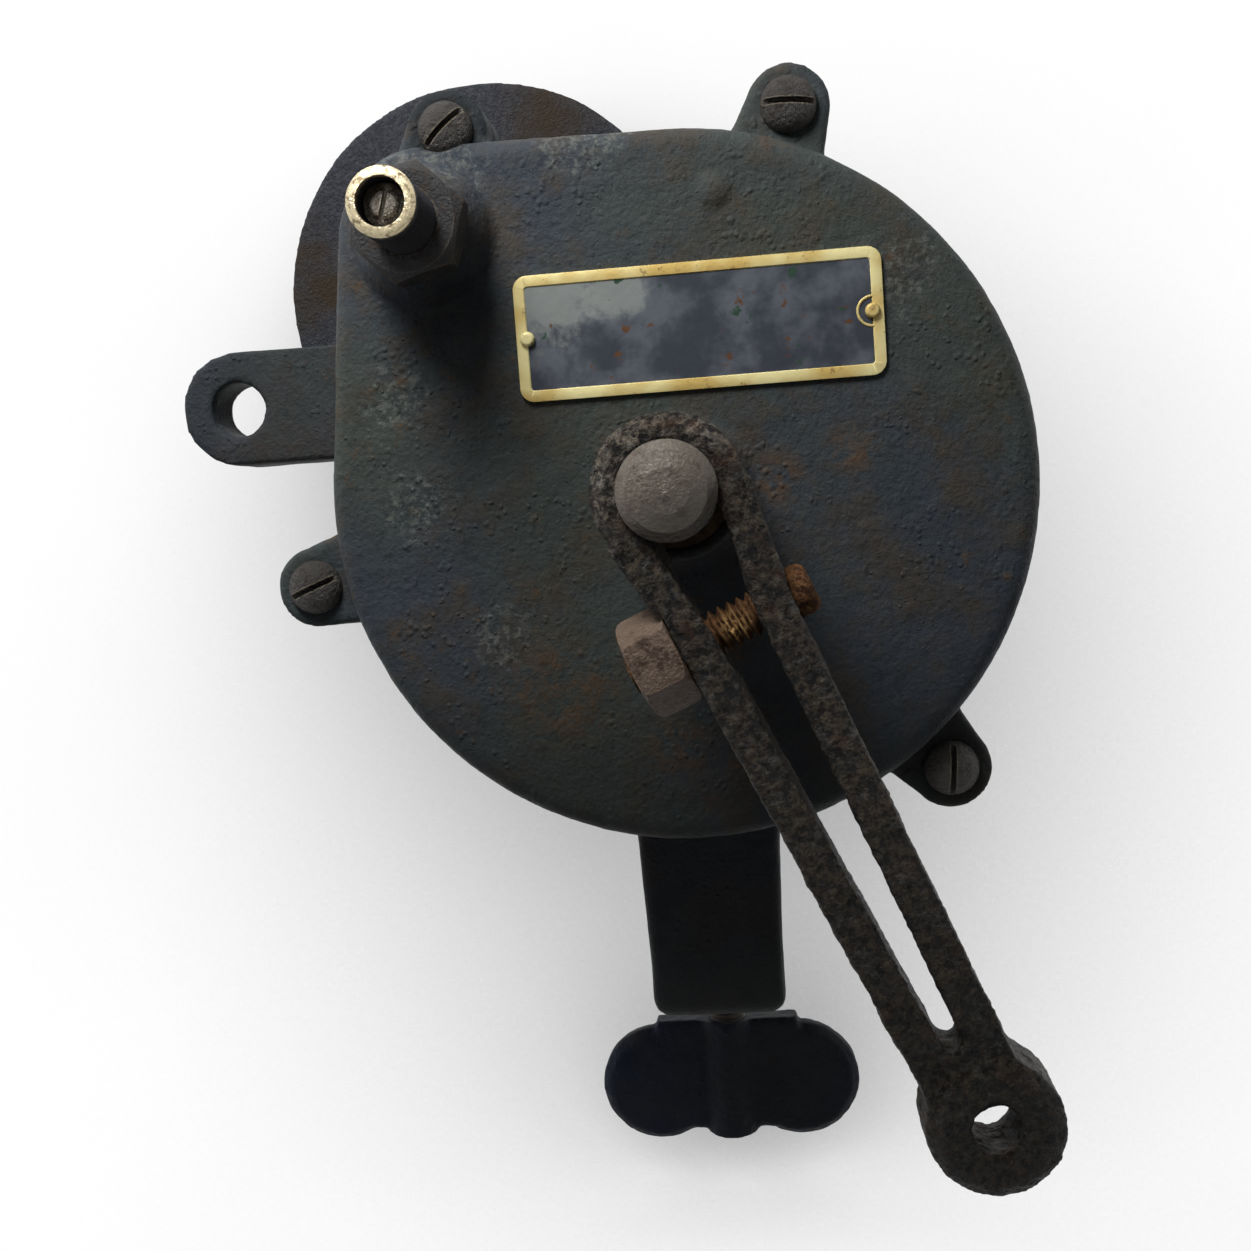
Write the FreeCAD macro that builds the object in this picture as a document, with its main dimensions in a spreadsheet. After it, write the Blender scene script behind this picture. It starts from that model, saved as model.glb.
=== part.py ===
import FreeCAD, Part
import math
import os
import re
import Sketcher

# Hand cranked bench grinder: a round gear case clamped to a bench, a split clamp crank on a
# slow main shaft, and a grinding wheel on the fast spindle behind the case.
#
# Axes: +X to the right as the crank is faced, +Y away from the crank towards the wheel, +Z up.
# The origin is the middle of the seat that rests on the bench, on the axis of the clamp screw.
# Inside each piece, depth is counted along +Y from the flat front face of the cover, and
# x and z from the axis that the piece is built around.
# The driving sizes are in millimetres and degrees.

SIZES = {
    # Gear case
    "gear_room": 1.46,
    "corner_radius": 18.6,
    "wall": 4.5,
    "cover_depth": 18.0,
    "case_depth": 28.0,
    "front_round": 4.0,
    "back_round": 3.0,
    # Ears and their screws
    "ear_radius": 8.5,
    "ear_flare": 2.2,
    "ear_blend": 3.0,
    "ear_out": 8.4,
    "ear_angle": 70.5,
    "corner_ear_out": 4.6,
    "corner_ear_angle": 79.1,
    "cover_ear": 9.0,
    "case_ear": 12.0,
    "spot_face": 0.3,
    "screw_bolt": 6.35,
    "screw_play": 0.25,
    "screw_head": 11.4,
    "screw_head_rise": 4.4,
    "screw_head_dome": 0.75,
    "screw_reach": 20.0,
    # Gears
    "gear_module": 1.27,
    "gear_teeth": 102.0,
    "pinion_teeth": 12.0,
    "pressure_angle": 20.0,
    "profile_shift": 0.3,
    "tooth_clearance": 0.25,
    "backlash": 0.16,
    "gear_face": 12.7,
    "gear_front": 12.0,
    "gear_web": 5.0,
    "gear_rim": 5.0,
    "gear_hub_radius": 16.0,
    "gear_hub_front": 10.0,
    "gear_hub_length": 19.0,
    "pinion_front": 10.6,
    "pinion_length": 15.4,
    "spindle_angle": 131.1,
    # Main shaft and its bearings
    "shaft_radius": 8.73,
    "shaft_end_radius": 7.14,
    "running_play": 0.04,
    "end_play": 0.3,
    "hub_boss_radius": 13.4,
    "hub_boss_flare": 2.0,
    "hub_boss_rise": 18.0,
    "inner_boss": 3.0,
    "rear_inner_boss": 6.0,
    "rear_boss_rise": 8.0,
    "rear_boss_floor": 2.0,
    "bush_wall": 2.0,
    "key_width": 4.76,
    "key_length": 16.0,
    "washer_radius": 13.5,
    # Crank
    "hub_rise": 28.6,
    "hub_radius": 13.6,
    "hub_bevel": 2.4,
    "dome_rise": 4.7,
    "dome_edge": 2.2,
    "rest_angle": 23.5,
    "throw": 123.0,
    "arm_raise": 1.4,
    "arm_root": 4.1,
    "arm_depth": 12.0,
    "arm_half_width": 10.6,
    "arm_tip_half_width": 8.6,
    "arm_tip": 110.0,
    "slot_half_hub": 6.5,
    "slot_half_bolt": 4.1,
    "slot_half_tip": 1.9,
    "slot_end": 106.3,
    "eye_radius": 12.1,
    "eye_hole": 4.3,
    "eye_rim": 9.9,
    "eye_raise": 1.4,
    "eye_depth": 13.4,
    "eye_blend": 6.0,
    "bolt_place": 25.5,
    "bolt_radius": 3.97,
    "bolt_head": 4.6,
    "bolt_head_rise": 4.0,
    "bolt_head_round": 1.8,
    "bolt_nut_across": 15.9,
    "bolt_nut_height": 8.7,
    "bolt_nut_turn": 24.0,
    "bolt_past_nut": 1.0,
    "seat_margin": 0.4,
    # Spindle, its sleeve and its lock nut
    "spindle_boss_rise": 9.1,
    "spindle_boss_top": 9.9,
    "spindle_boss_base": 14.5,
    "sleeve_radius": 6.35,
    "sleeve_rise": 35.3,
    "sleeve_rim_round": 0.7,
    "mouth_radius": 4.5,
    "mouth_depth": 10.0,
    "lock_nut_across": 20.6,
    "lock_nut_height": 8.5,
    "lock_nut_turn": 15.4,
    "journal_radius": 3.97,
    "stub_radius": 2.8,
    "stub_length": 9.0,
    "stub_sink": 2.5,
    "stub_bevel": 0.7,
    "stub_slot": 0.9,
    "stub_slot_depth": 1.1,
    "stub_slot_turn": 73.0,
    "pinion_seat_radius": 4.2,
    "collar_radius": 8.5,
    "collar_length": 6.0,
    "arbor_radius": 6.35,
    "arbor_shoulder": 0.8,
    "arbor_bevel": 1.0,
    "spindle_rear_boss": 18.0,
    "rear_boss_swell": 4.0,
    "rear_boss_draft": 1.5,
    # Wheel and its flanges
    "wheel_gap": 2.5,
    "wheel_radius": 50.8,
    "wheel_width": 19.05,
    "wheel_edge": 0.8,
    "flange_radius": 20.0,
    "flange_width": 6.0,
    "flange_recess": 1.0,
    "flange_rim": 6.0,
    "blotter": 0.75,
    "blotter_radius": 22.0,
    "arbor_washer_radius": 12.0,
    "arbor_washer": 1.6,
    "arbor_nut_across": 19.05,
    "arbor_nut_height": 8.0,
    "arbor_nut_turn": 30.0,
    "arbor_past_nut": 3.5,
    # Lug for the tool rest
    "lug_x": 97.2,
    "lug_z": 25.2,
    "lug_radius": 12.5,
    "lug_hole": 6.0,
    "lug_front": 22.0,
    "lug_depth": 14.0,
    # Leg and bench clamp
    "seat_drop": 68.0,
    "seat_reach": 38.0,
    "seat_thick": 10.0,
    "seat_width": 32.0,
    "seat_round": 6.0,
    "rib_rise": 24.0,
    "rib_thick": 6.0,
    "rib_spread": 20.0,
    "rib_reach": 30.4,
    "throat": 37.0,
    "jaw_thick": 15.5,
    "foot_round": 4.5,
    "leg_round": 2.0,
    "leg_front": 28.0,
    "leg_half_top": 16.6,
    "leg_half_foot": 15.2,
    "clamp_screw_radius": 4.76,
    "screw_running_play": 0.06,
    "clamp_opening": 14.0,
    "pad_radius": 11.0,
    "pad_thick": 6.5,
    "pad_socket": 4.0,
    "tip_radius": 3.4,
    "pad_play": 0.3,
    # Wing of the clamp screw
    "wing_lobe_radius": 14.6,
    "wing_lobe_spread": 17.9,
    "wing_lobe_z": 149.8,
    "wing_hub_radius": 6.6,
    "wing_hub_top": 132.9,
    "wing_thick": 7.0,
    "wing_round": 2.0,
    "wing_web_foot": 12.2,
    "wing_web_top": 16.8,
    "wing_hub_length": 30.2,
    # Name plate
    "plate_width": 73.0,
    "plate_height": 25.0,
    "plate_thick": 0.8,
    "plate_corner": 2.8,
    "plate_x": 6.1,
    "plate_z": 32.5,
    "pin_inset": 2.2,
    "pin_radius": 0.9,
    "pin_head": 1.5,
    "pin_head_rise": 0.9,
    "pin_head_dome": 0.8,
    "pin_reach": 4.0,
}

# The ears that stand round the case, not counting the one over the spindle
EAR_COUNT = 3
# How near two lengths are when they count as the same
CLOSE = 1e-3
# Where outlines and circles start before their sizes are tied to the sheet
FIRST_REACH = 20.0
FIRST_RADIUS = 5.0

doc = FreeCAD.newDocument("bench_grinder")
sheet = doc.addObject("Spreadsheet::Sheet", "Sizes")
for row, (alias, size) in enumerate(SIZES.items(), start=1):
    sheet.set(f"A{row}", alias)
    sheet.set(f"B{row}", str(size))
    sheet.setAlias(f"B{row}", alias)
doc.recompute()

ALIAS = re.compile(r"\b(" + "|".join(sorted(SIZES, key=len, reverse=True)) + r")\b")

# Places worked out from the driving sizes, as text for the expressions of the pieces
CENTRES = "(gear_module * (gear_teeth + pinion_teeth) / 2)"
SPINDLE_X = f"({CENTRES} * cos(spindle_angle))"
SPINDLE_Z = f"({CENTRES} * sin(spindle_angle))"
CASE_RADIUS = "(gear_module * (gear_teeth / 2 + 1) + gear_room + wall)"
EAR_REACH = f"({CASE_RADIUS} + ear_out)"
CORNER_EAR_REACH = "(corner_radius + corner_ear_out)"
CASE_BACK = "(cover_depth + case_depth)"
SCREW_DEPTH = f"({CASE_BACK} + seat_reach / 2)"
CAVITY_BACK = f"({CASE_BACK} - wall)"
GEAR_HUB_BACK = "(gear_hub_front + gear_hub_length)"
HUB_BACK = "(-hub_boss_rise - end_play)"
HUB_FRONT = "(-hub_boss_rise - hub_rise)"
ARM_FRONT = f"({HUB_FRONT} - arm_raise)"
EYE_FRONT = f"({ARM_FRONT} - eye_raise)"
PINION_BACK = "(pinion_front + pinion_length)"
SPINDLE_BACK_BOSS = f"({CASE_BACK} + spindle_rear_boss)"
FLANGE_FRONT = f"({SPINDLE_BACK_BOSS} + wheel_gap)"
WHEEL_FRONT = f"({FLANGE_FRONT} + flange_width + blotter)"
WHEEL_BACK = f"({WHEEL_FRONT} + wheel_width)"
OUTER_FLANGE_FRONT = f"({WHEEL_BACK} + blotter)"
ARBOR_WASHER_FRONT = f"({OUTER_FLANGE_FRONT} + flange_width)"
ARBOR_NUT_FRONT = f"({ARBOR_WASHER_FRONT} + arbor_washer)"
ARBOR_END = f"({ARBOR_NUT_FRONT} + arbor_nut_height + arbor_past_nut)"
EAR_FRONT = "(cover_depth - cover_ear)"
EAR_SEAT = f"({EAR_FRONT} + spot_face)"
# Where the ears stand: their root's radius, their reach, their angle, and the axis they are about
RIM_EAR = (CASE_RADIUS, EAR_REACH, "ear_angle", "0", "0")
CORNER_EAR = ("corner_radius", CORNER_EAR_REACH, "corner_ear_angle", SPINDLE_X, SPINDLE_Z)
BOLT_DEPTH = f"({ARM_FRONT} + arm_depth / 2)"
JAW_TOP = "(-seat_drop - throat)"
JAW_FOOT = f"({JAW_TOP} - jaw_thick)"
PAD_TOP = "(-seat_drop - clamp_opening)"
PAD_FOOT = f"({PAD_TOP} - pad_thick)"


def expression(words):
    """The expression with every size named by its cell in the sheet."""
    return ALIAS.sub(r"Sizes.\1", words)


def number(alias):
    """A driving size as a plain number, read from the sheet."""
    return float(sheet.get(alias))


def centre_distance():
    """Distance between the two gear axes."""
    return number("gear_module") * (number("gear_teeth") + number("pinion_teeth")) / 2


def case_radius():
    """Outer radius of the round part of the gear case, as a number."""
    gear = number("gear_module") * (number("gear_teeth") / 2 + 1)
    return gear + number("gear_room") + number("wall")


def spindle_point():
    """x and z of the spindle axis from the main axis."""
    angle = math.radians(number("spindle_angle"))
    return centre_distance() * math.cos(angle), centre_distance() * math.sin(angle)


def spread(count):
    """Starting points on a circle for an outline that its constraints then draw."""
    turns = [2 * math.pi * index / count for index in range(count)]
    return [FreeCAD.Vector(math.cos(turn), math.sin(turn), 0) * FIRST_REACH for turn in turns]


class Piece:
    """One body of the grinder, with its sketches and features."""

    def __init__(self, name, x="0", z="0", turn=None):
        self.name = name
        self.body = doc.addObject("PartDesign::Body", name)
        self.body.Label = name
        if turn is not None:
            upright = FreeCAD.Rotation(FreeCAD.Vector(0, 1, 0), 1)
            self.body.Placement = FreeCAD.Placement(FreeCAD.Vector(0, 0, 0), upright)
            self.bind(self.body, "Placement.Rotation.Angle", turn)
        self.bind(self.body, "Placement.Base.x", x)
        self.bind(self.body, "Placement.Base.y", f"-{SCREW_DEPTH}")
        self.bind(self.body, "Placement.Base.z", f"seat_drop + {z}")

    def bind(self, thing, place, words):
        """Ties one property of a thing to the sheet."""
        thing.setExpression(place, expression(words))

    def plane(self, role):
        """One of the body's own origin planes."""
        return next(item for item in self.body.Origin.OriginFeatures if item.Role == role)

    def sketch(self, role, offset="0", x="0", y="0", turn=None):
        """An empty sketch on an origin plane, moved along and across it."""
        made = self.body.newObject("Sketcher::SketchObject", f"{self.name}_sketch")
        made.AttachmentSupport = [(self.plane(role), "")]
        made.MapMode = "FlatFace"
        if turn is not None:
            about = FreeCAD.Rotation(FreeCAD.Vector(0, 0, 1), 1)
            made.AttachmentOffset = FreeCAD.Placement(FreeCAD.Vector(0, 0, 0), about)
            self.bind(made, "AttachmentOffset.Rotation.Angle", turn)
        self.bind(made, "AttachmentOffset.Base.x", x)
        self.bind(made, "AttachmentOffset.Base.y", y)
        self.bind(made, "AttachmentOffset.Base.z", offset)
        return made

    def front_sketch(self, depth="0", x="0", z="0", turn=None):
        """A sketch that faces the crank side, at a depth behind the cover's face."""
        return self.sketch("XZ_Plane", f"-({depth})", x, z, turn)

    def name_last(self, sketch, index, name, words):
        """Names a constraint and ties it to the sheet."""
        sketch.renameConstraint(index, name)
        self.bind(sketch, f"Constraints.{name}", words)

    def pin_point(self, sketch, shape, end, name, place, start=(1.0, 1.0)):
        """Fixes one point of a sketch at a place given by two expressions."""
        for axis, words, first in zip(("X", "Y"), place, start):
            rule = Sketcher.Constraint(f"Distance{axis}", -1, 1, shape, end, first)
            self.name_last(sketch, sketch.addConstraint(rule), f"{name}{axis}", words)

    def outline(self, sketch, points):
        """A closed outline of straight lines, its corners given by expressions."""
        start = sketch.GeometryCount
        corners = spread(len(points))
        for index, corner in enumerate(corners):
            line = Part.LineSegment(corner, corners[(index + 1) % len(corners)])
            sketch.addGeometry(line, False)
        for index, place in enumerate(points):
            following = start + (index + 1) % len(points)
            rule = Sketcher.Constraint("Coincident", start + index, 2, following, 1)
            sketch.addConstraint(rule)
            self.pin_point(sketch, start + index, 1, f"corner{start + index}", place)
        return sketch

    def circle(self, sketch, radius, x="0", y="0"):
        """A full circle, its radius and centre given by expressions."""
        shape = sketch.addGeometry(
            Part.Circle(FreeCAD.Vector(0, 0, 0), FreeCAD.Vector(0, 0, 1), FIRST_RADIUS), False
        )
        rule = Sketcher.Constraint("Radius", shape, FIRST_RADIUS)
        self.name_last(sketch, sketch.addConstraint(rule), f"round{shape}", radius)
        self.pin_point(sketch, shape, 3, f"centre{shape}", (x, y))
        return sketch

    def belt(self, sketch, large, small, start, reach, along, far):
        """Two arcs joined by their two common tangents.

        large and small are the radii, first as numbers and then as expressions; the large
        arc is centred on the start point, and the small one at a distance and direction.
        """
        lean = math.acos((large[0] - small[0]) / reach)
        hubs = (
            FreeCAD.Vector(start[0], start[1], 0),
            FreeCAD.Vector(
                start[0] + reach * math.cos(along), start[1] + reach * math.sin(along), 0
            ),
        )
        up = FreeCAD.Vector(0, 0, 1)
        arcs = []
        for hub, radius, low, high in (
            (hubs[0], large[0], along + lean, along - lean + 2 * math.pi),
            (hubs[1], small[0], along - lean, along + lean),
        ):
            arc = Part.ArcOfCircle(Part.Circle(hub, up, radius), low, high)
            arcs.append(sketch.addGeometry(arc, False))
        lines = []
        for side in (1, -1):
            turn = along + side * lean
            ray = FreeCAD.Vector(math.cos(turn), math.sin(turn), 0)
            line = Part.LineSegment(hubs[0] + ray * large[0], hubs[1] + ray * small[0])
            lines.append(sketch.addGeometry(line, False))
        for line, large_end, small_end in ((lines[0], 1, 2), (lines[1], 2, 1)):
            sketch.addConstraint(Sketcher.Constraint("Tangent", line, 1, arcs[0], large_end))
            sketch.addConstraint(Sketcher.Constraint("Tangent", line, 2, arcs[1], small_end))
        ends = ((arcs[0], large, ("0", "0"), hubs[0]), (arcs[1], small, far, hubs[1]))
        for arc, (radius, words), place, hub in ends:
            rule = Sketcher.Constraint("Radius", arc, radius)
            self.name_last(sketch, sketch.addConstraint(rule), f"round{arc}", words)
            self.pin_point(sketch, arc, 3, f"centre{arc}", place, (hub.x, hub.y))
        return sketch

    def feature(self, kind, sketch=None):
        """Adds a feature of the given kind to the body."""
        made = self.body.newObject(f"PartDesign::{kind}", f"{self.name}_{kind.lower()}")
        if sketch is not None:
            made.Profile = sketch
            sketch.Visibility = False
        return made

    def pad(self, sketch, length, outward=False):
        """Adds stock behind a sketch, or in front of it if outward, over a length."""
        made = self.feature("Pad", sketch)
        made.Reversed = not outward
        self.bind(made, "Length", length)
        doc.recompute()
        return made

    def pad_both(self, sketch, length):
        """Adds stock evenly on both sides of a sketch."""
        made = self.feature("Pad", sketch)
        made.Midplane = True
        self.bind(made, "Length", length)
        doc.recompute()
        return made

    def pocket(self, sketch, length, outward=False):
        """Cuts behind a sketch, or in front of it if outward; it must take stock away."""
        before = self.body.Tip.Shape.Volume
        made = self.feature("Pocket", sketch)
        made.Reversed = outward
        self.bind(made, "Length", length)
        doc.recompute()
        if made.Shape.Volume > before - CLOSE:
            raise RuntimeError(f"{self.name}: {made.Name} cuts nothing")
        return made

    def revolve(self, points, depth="0", x="0", z="0", kind="Revolution"):
        """Turns a profile of radius and depth about an axis that runs front to back."""
        sketch = self.sketch("XY_Plane", z, x, depth)
        self.outline(sketch, points)
        made = self.feature(kind, sketch)
        made.ReferenceAxis = (sketch, ["V_Axis"])
        made.Angle = 360
        doc.recompute()
        return made

    def rounded(self, chosen, radius, kind="Fillet"):
        """Rounds or bevels the edges that a test picks."""
        base = self.body.Tip
        edges = enumerate(base.Shape.Edges, start=1)
        names = [f"Edge{index}" for index, edge in edges if chosen(edge)]
        if not names:
            raise RuntimeError(f"{self.name}: no edge to round")
        made = self.feature(kind)
        made.Base = (base, names)
        self.bind(made, "Radius" if kind == "Fillet" else "Size", radius)
        doc.recompute()
        return made

    def around(self, features, count):
        """Repeats features evenly about the main axis."""
        made = self.feature("PolarPattern")
        made.Originals = features
        made.Axis = (features[0].Profile[0], ["N_Axis"])
        made.Angle = 360
        made.Occurrences = count
        self.body.Tip = made
        doc.recompute()
        return made


def edge_at(depth):
    """A test for edges that lie wholly at one depth."""

    def chosen(edge):
        box = edge.BoundBox
        return abs(box.YMin - depth) < CLOSE and abs(box.YMax - depth) < CLOSE

    return chosen


def case_outline(piece, sketch, inset):
    """The outline of the gear case, drawn in by an inset."""
    x, z = spindle_point()
    shrink = number(inset) if inset != "0" else 0.0
    return piece.belt(
        sketch,
        (case_radius() - shrink, f"{CASE_RADIUS} - {inset}"),
        (number("corner_radius") - shrink, f"corner_radius - {inset}"),
        (0.0, 0.0),
        centre_distance(),
        math.atan2(z, x),
        (SPINDLE_X, SPINDLE_Z),
    )


def ear(piece, depth, length, place):
    """An ear on the case's rim: a round lug on a flared foot."""
    root, reach, turn, x, z = place
    foot = f"({root} - 6 * wall / 5)"
    sketch = piece.front_sketch(depth, x, z, turn)
    piece.outline(
        sketch,
        [
            (reach, "ear_radius"),
            (foot, "ear_radius + ear_flare"),
            (foot, "-ear_radius - ear_flare"),
            (reach, "-ear_radius"),
        ],
    )
    web = piece.pad(sketch, length)
    sketch = piece.front_sketch(depth, x, z, turn)
    piece.circle(sketch, "ear_radius", reach)
    return [web, piece.pad(sketch, length)]


def ears(piece, depth, length):
    """All the ears of one half of the case, blended into its rim."""
    piece.around(ear(piece, depth, length, RIM_EAR), EAR_COUNT)
    ear(piece, depth, length, CORNER_EAR)
    lug = number("ear_radius") + number("ear_flare") / 4
    centres = ear_centres()

    def root(edge):
        box = edge.BoundBox
        spot = box.Center
        upright = abs(box.YLength - number(length)) < CLOSE and box.XLength + box.ZLength < CLOSE
        return upright and all(math.hypot(spot.x - x, spot.z - z) > lug for x, z in centres)

    piece.rounded(root, "ear_blend")


def ear_centres():
    """x and z of every ear's screw from the main axis."""
    reach = case_radius() + number("ear_out")
    first = number("ear_angle")
    turns = [math.radians(first + 360 * index / EAR_COUNT) for index in range(EAR_COUNT)]
    centres = [(reach * math.cos(turn), reach * math.sin(turn)) for turn in turns]
    x, z = spindle_point()
    reach = number("corner_radius") + number("corner_ear_out")
    turn = math.radians(number("corner_ear_angle"))
    return centres + [(x + reach * math.cos(turn), z + reach * math.sin(turn))]


def ear_holes(piece, depth, length, radius):
    """Round holes in front of, or through, the ears of one half of the case."""
    for place in (RIM_EAR, CORNER_EAR):
        root, reach, turn, x, z = place
        sketch = piece.front_sketch(depth, x, z, turn)
        piece.circle(sketch, radius, reach)
        hole = piece.pocket(sketch, length)
        if place is RIM_EAR:
            piece.around([hole], EAR_COUNT)


def front_cover():
    """The front half of the case, with the bosses for the crank shaft and the spindle."""
    piece = Piece("front_cover")
    piece.pad(case_outline(piece, piece.front_sketch(), "0"), "cover_depth")
    piece.rounded(edge_at(0.0), "front_round")
    ears(piece, EAR_FRONT, "cover_ear")
    hollow = case_outline(piece, piece.front_sketch("wall"), "wall")
    piece.pocket(hollow, "cover_depth - wall")
    piece.revolve(
        [
            ("0", "-hub_boss_rise"),
            ("hub_boss_radius", "-hub_boss_rise"),
            ("hub_boss_radius", "-hub_boss_flare"),
            ("hub_boss_radius + hub_boss_flare", "0"),
            ("hub_boss_radius + hub_boss_flare", "wall"),
            ("hub_boss_radius", "wall + inner_boss"),
            ("0", "wall + inner_boss"),
        ]
    )
    piece.revolve(
        [
            ("0", "-spindle_boss_rise"),
            ("spindle_boss_top", "-spindle_boss_rise"),
            ("spindle_boss_base", "0"),
            ("spindle_boss_base", "wall"),
            ("spindle_boss_top", "wall + inner_boss"),
            ("0", "wall + inner_boss"),
        ],
        x=SPINDLE_X,
        z=SPINDLE_Z,
    )
    sketch = piece.front_sketch("-hub_boss_rise")
    piece.circle(sketch, "shaft_radius + running_play + bush_wall")
    piece.pocket(sketch, "hub_boss_rise + wall + inner_boss")
    sketch = piece.front_sketch("-spindle_boss_rise", SPINDLE_X, SPINDLE_Z)
    piece.circle(sketch, "sleeve_radius")
    piece.pocket(sketch, "spindle_boss_rise + wall + inner_boss")
    ear_holes(piece, EAR_FRONT, "cover_ear", "screw_bolt / 2 + screw_play")
    # Every ear is spot-faced for its screw, and the one over the spindle into the case's edge
    ear_holes(piece, "0", EAR_SEAT, "screw_head / 2 + seat_margin")
    sketch = piece.front_sketch("0", "plate_x", "plate_z")
    for side in ("-", ""):
        piece.circle(sketch, "pin_radius", f"{side}(plate_width / 2 - pin_inset)")
    piece.pocket(sketch, "pin_reach")
    return piece


def leg(piece):
    """The leg under the case, its lower jaw and the seat that rests on the bench."""
    sketch = piece.front_sketch("leg_front")
    piece.outline(
        sketch,
        [
            ("-leg_half_top", f"-{CASE_RADIUS} + 2 * wall"),
            ("leg_half_top", f"-{CASE_RADIUS} + 2 * wall"),
            ("leg_half_foot", JAW_TOP),
            ("leg_half_foot", JAW_FOOT),
            ("-leg_half_foot", JAW_FOOT),
            ("-leg_half_foot", JAW_TOP),
        ],
    )
    piece.pad(sketch, f"{CASE_BACK} - leg_front")
    # The lower jaw is round about the clamp screw, seen from above
    sketch = piece.sketch("XY_Plane", JAW_FOOT)
    piece.circle(sketch, "leg_half_foot", "0", SCREW_DEPTH)
    piece.pad(sketch, "jaw_thick", outward=True)
    sketch = piece.sketch("XY_Plane", JAW_FOOT)
    piece.outline(
        sketch,
        [
            ("-leg_half_foot", "leg_front + wall"),
            ("leg_half_foot", "leg_front + wall"),
            ("leg_half_foot", SCREW_DEPTH),
            ("-leg_half_foot", SCREW_DEPTH),
        ],
    )
    piece.pad(sketch, "jaw_thick", outward=True)
    foot = number("seat_drop") + number("throat") + number("jaw_thick")
    front = number("leg_front")

    def foot_edge(edge):
        box = edge.BoundBox
        return abs(box.ZMin + foot) < CLOSE and abs(box.ZMax + foot) < CLOSE

    def leg_edge(edge):
        box = edge.BoundBox
        at_front = abs(box.YMin - front) < CLOSE and abs(box.YMax - front) < CLOSE
        return at_front and box.ZLength > number("jaw_thick") / 2 and box.ZMin < -foot / 2

    piece.rounded(leg_edge, "leg_round")
    piece.rounded(foot_edge, "foot_round")
    # The seat, with its underside on the bench
    sketch = piece.sketch("XY_Plane", "-seat_drop")
    piece.outline(
        sketch,
        [
            ("-seat_width / 2", f"{CASE_BACK}"),
            ("seat_width / 2", f"{CASE_BACK}"),
            ("seat_width / 2", f"{CASE_BACK} + seat_reach"),
            ("-seat_width / 2", f"{CASE_BACK} + seat_reach"),
        ],
    )
    piece.pad(sketch, "seat_thick", outward=True)
    reach = number("cover_depth") + number("case_depth") + number("seat_reach")

    def far_corner(edge):
        box = edge.BoundBox
        return box.YMin > reach - CLOSE and box.ZLength > number("seat_thick") / 2

    piece.rounded(far_corner, "seat_round")
    # Two ribs carry the seat on the back of the case
    for side in ("-", ""):
        sketch = piece.sketch("YZ_Plane", f"{side}rib_spread / 2")
        piece.outline(
            sketch,
            [
                (f"{CASE_BACK} - wall / 2", "-seat_drop + seat_thick / 2"),
                (f"{CASE_BACK} + rib_reach", "-seat_drop + seat_thick / 2"),
                (f"{CASE_BACK} + rib_reach", "-seat_drop + seat_thick"),
                (f"{CASE_BACK}", "-seat_drop + seat_thick + rib_rise"),
                (f"{CASE_BACK} - wall / 2", "-seat_drop + seat_thick + rib_rise"),
            ],
        )
        piece.pad_both(sketch, "rib_thick")


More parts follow.
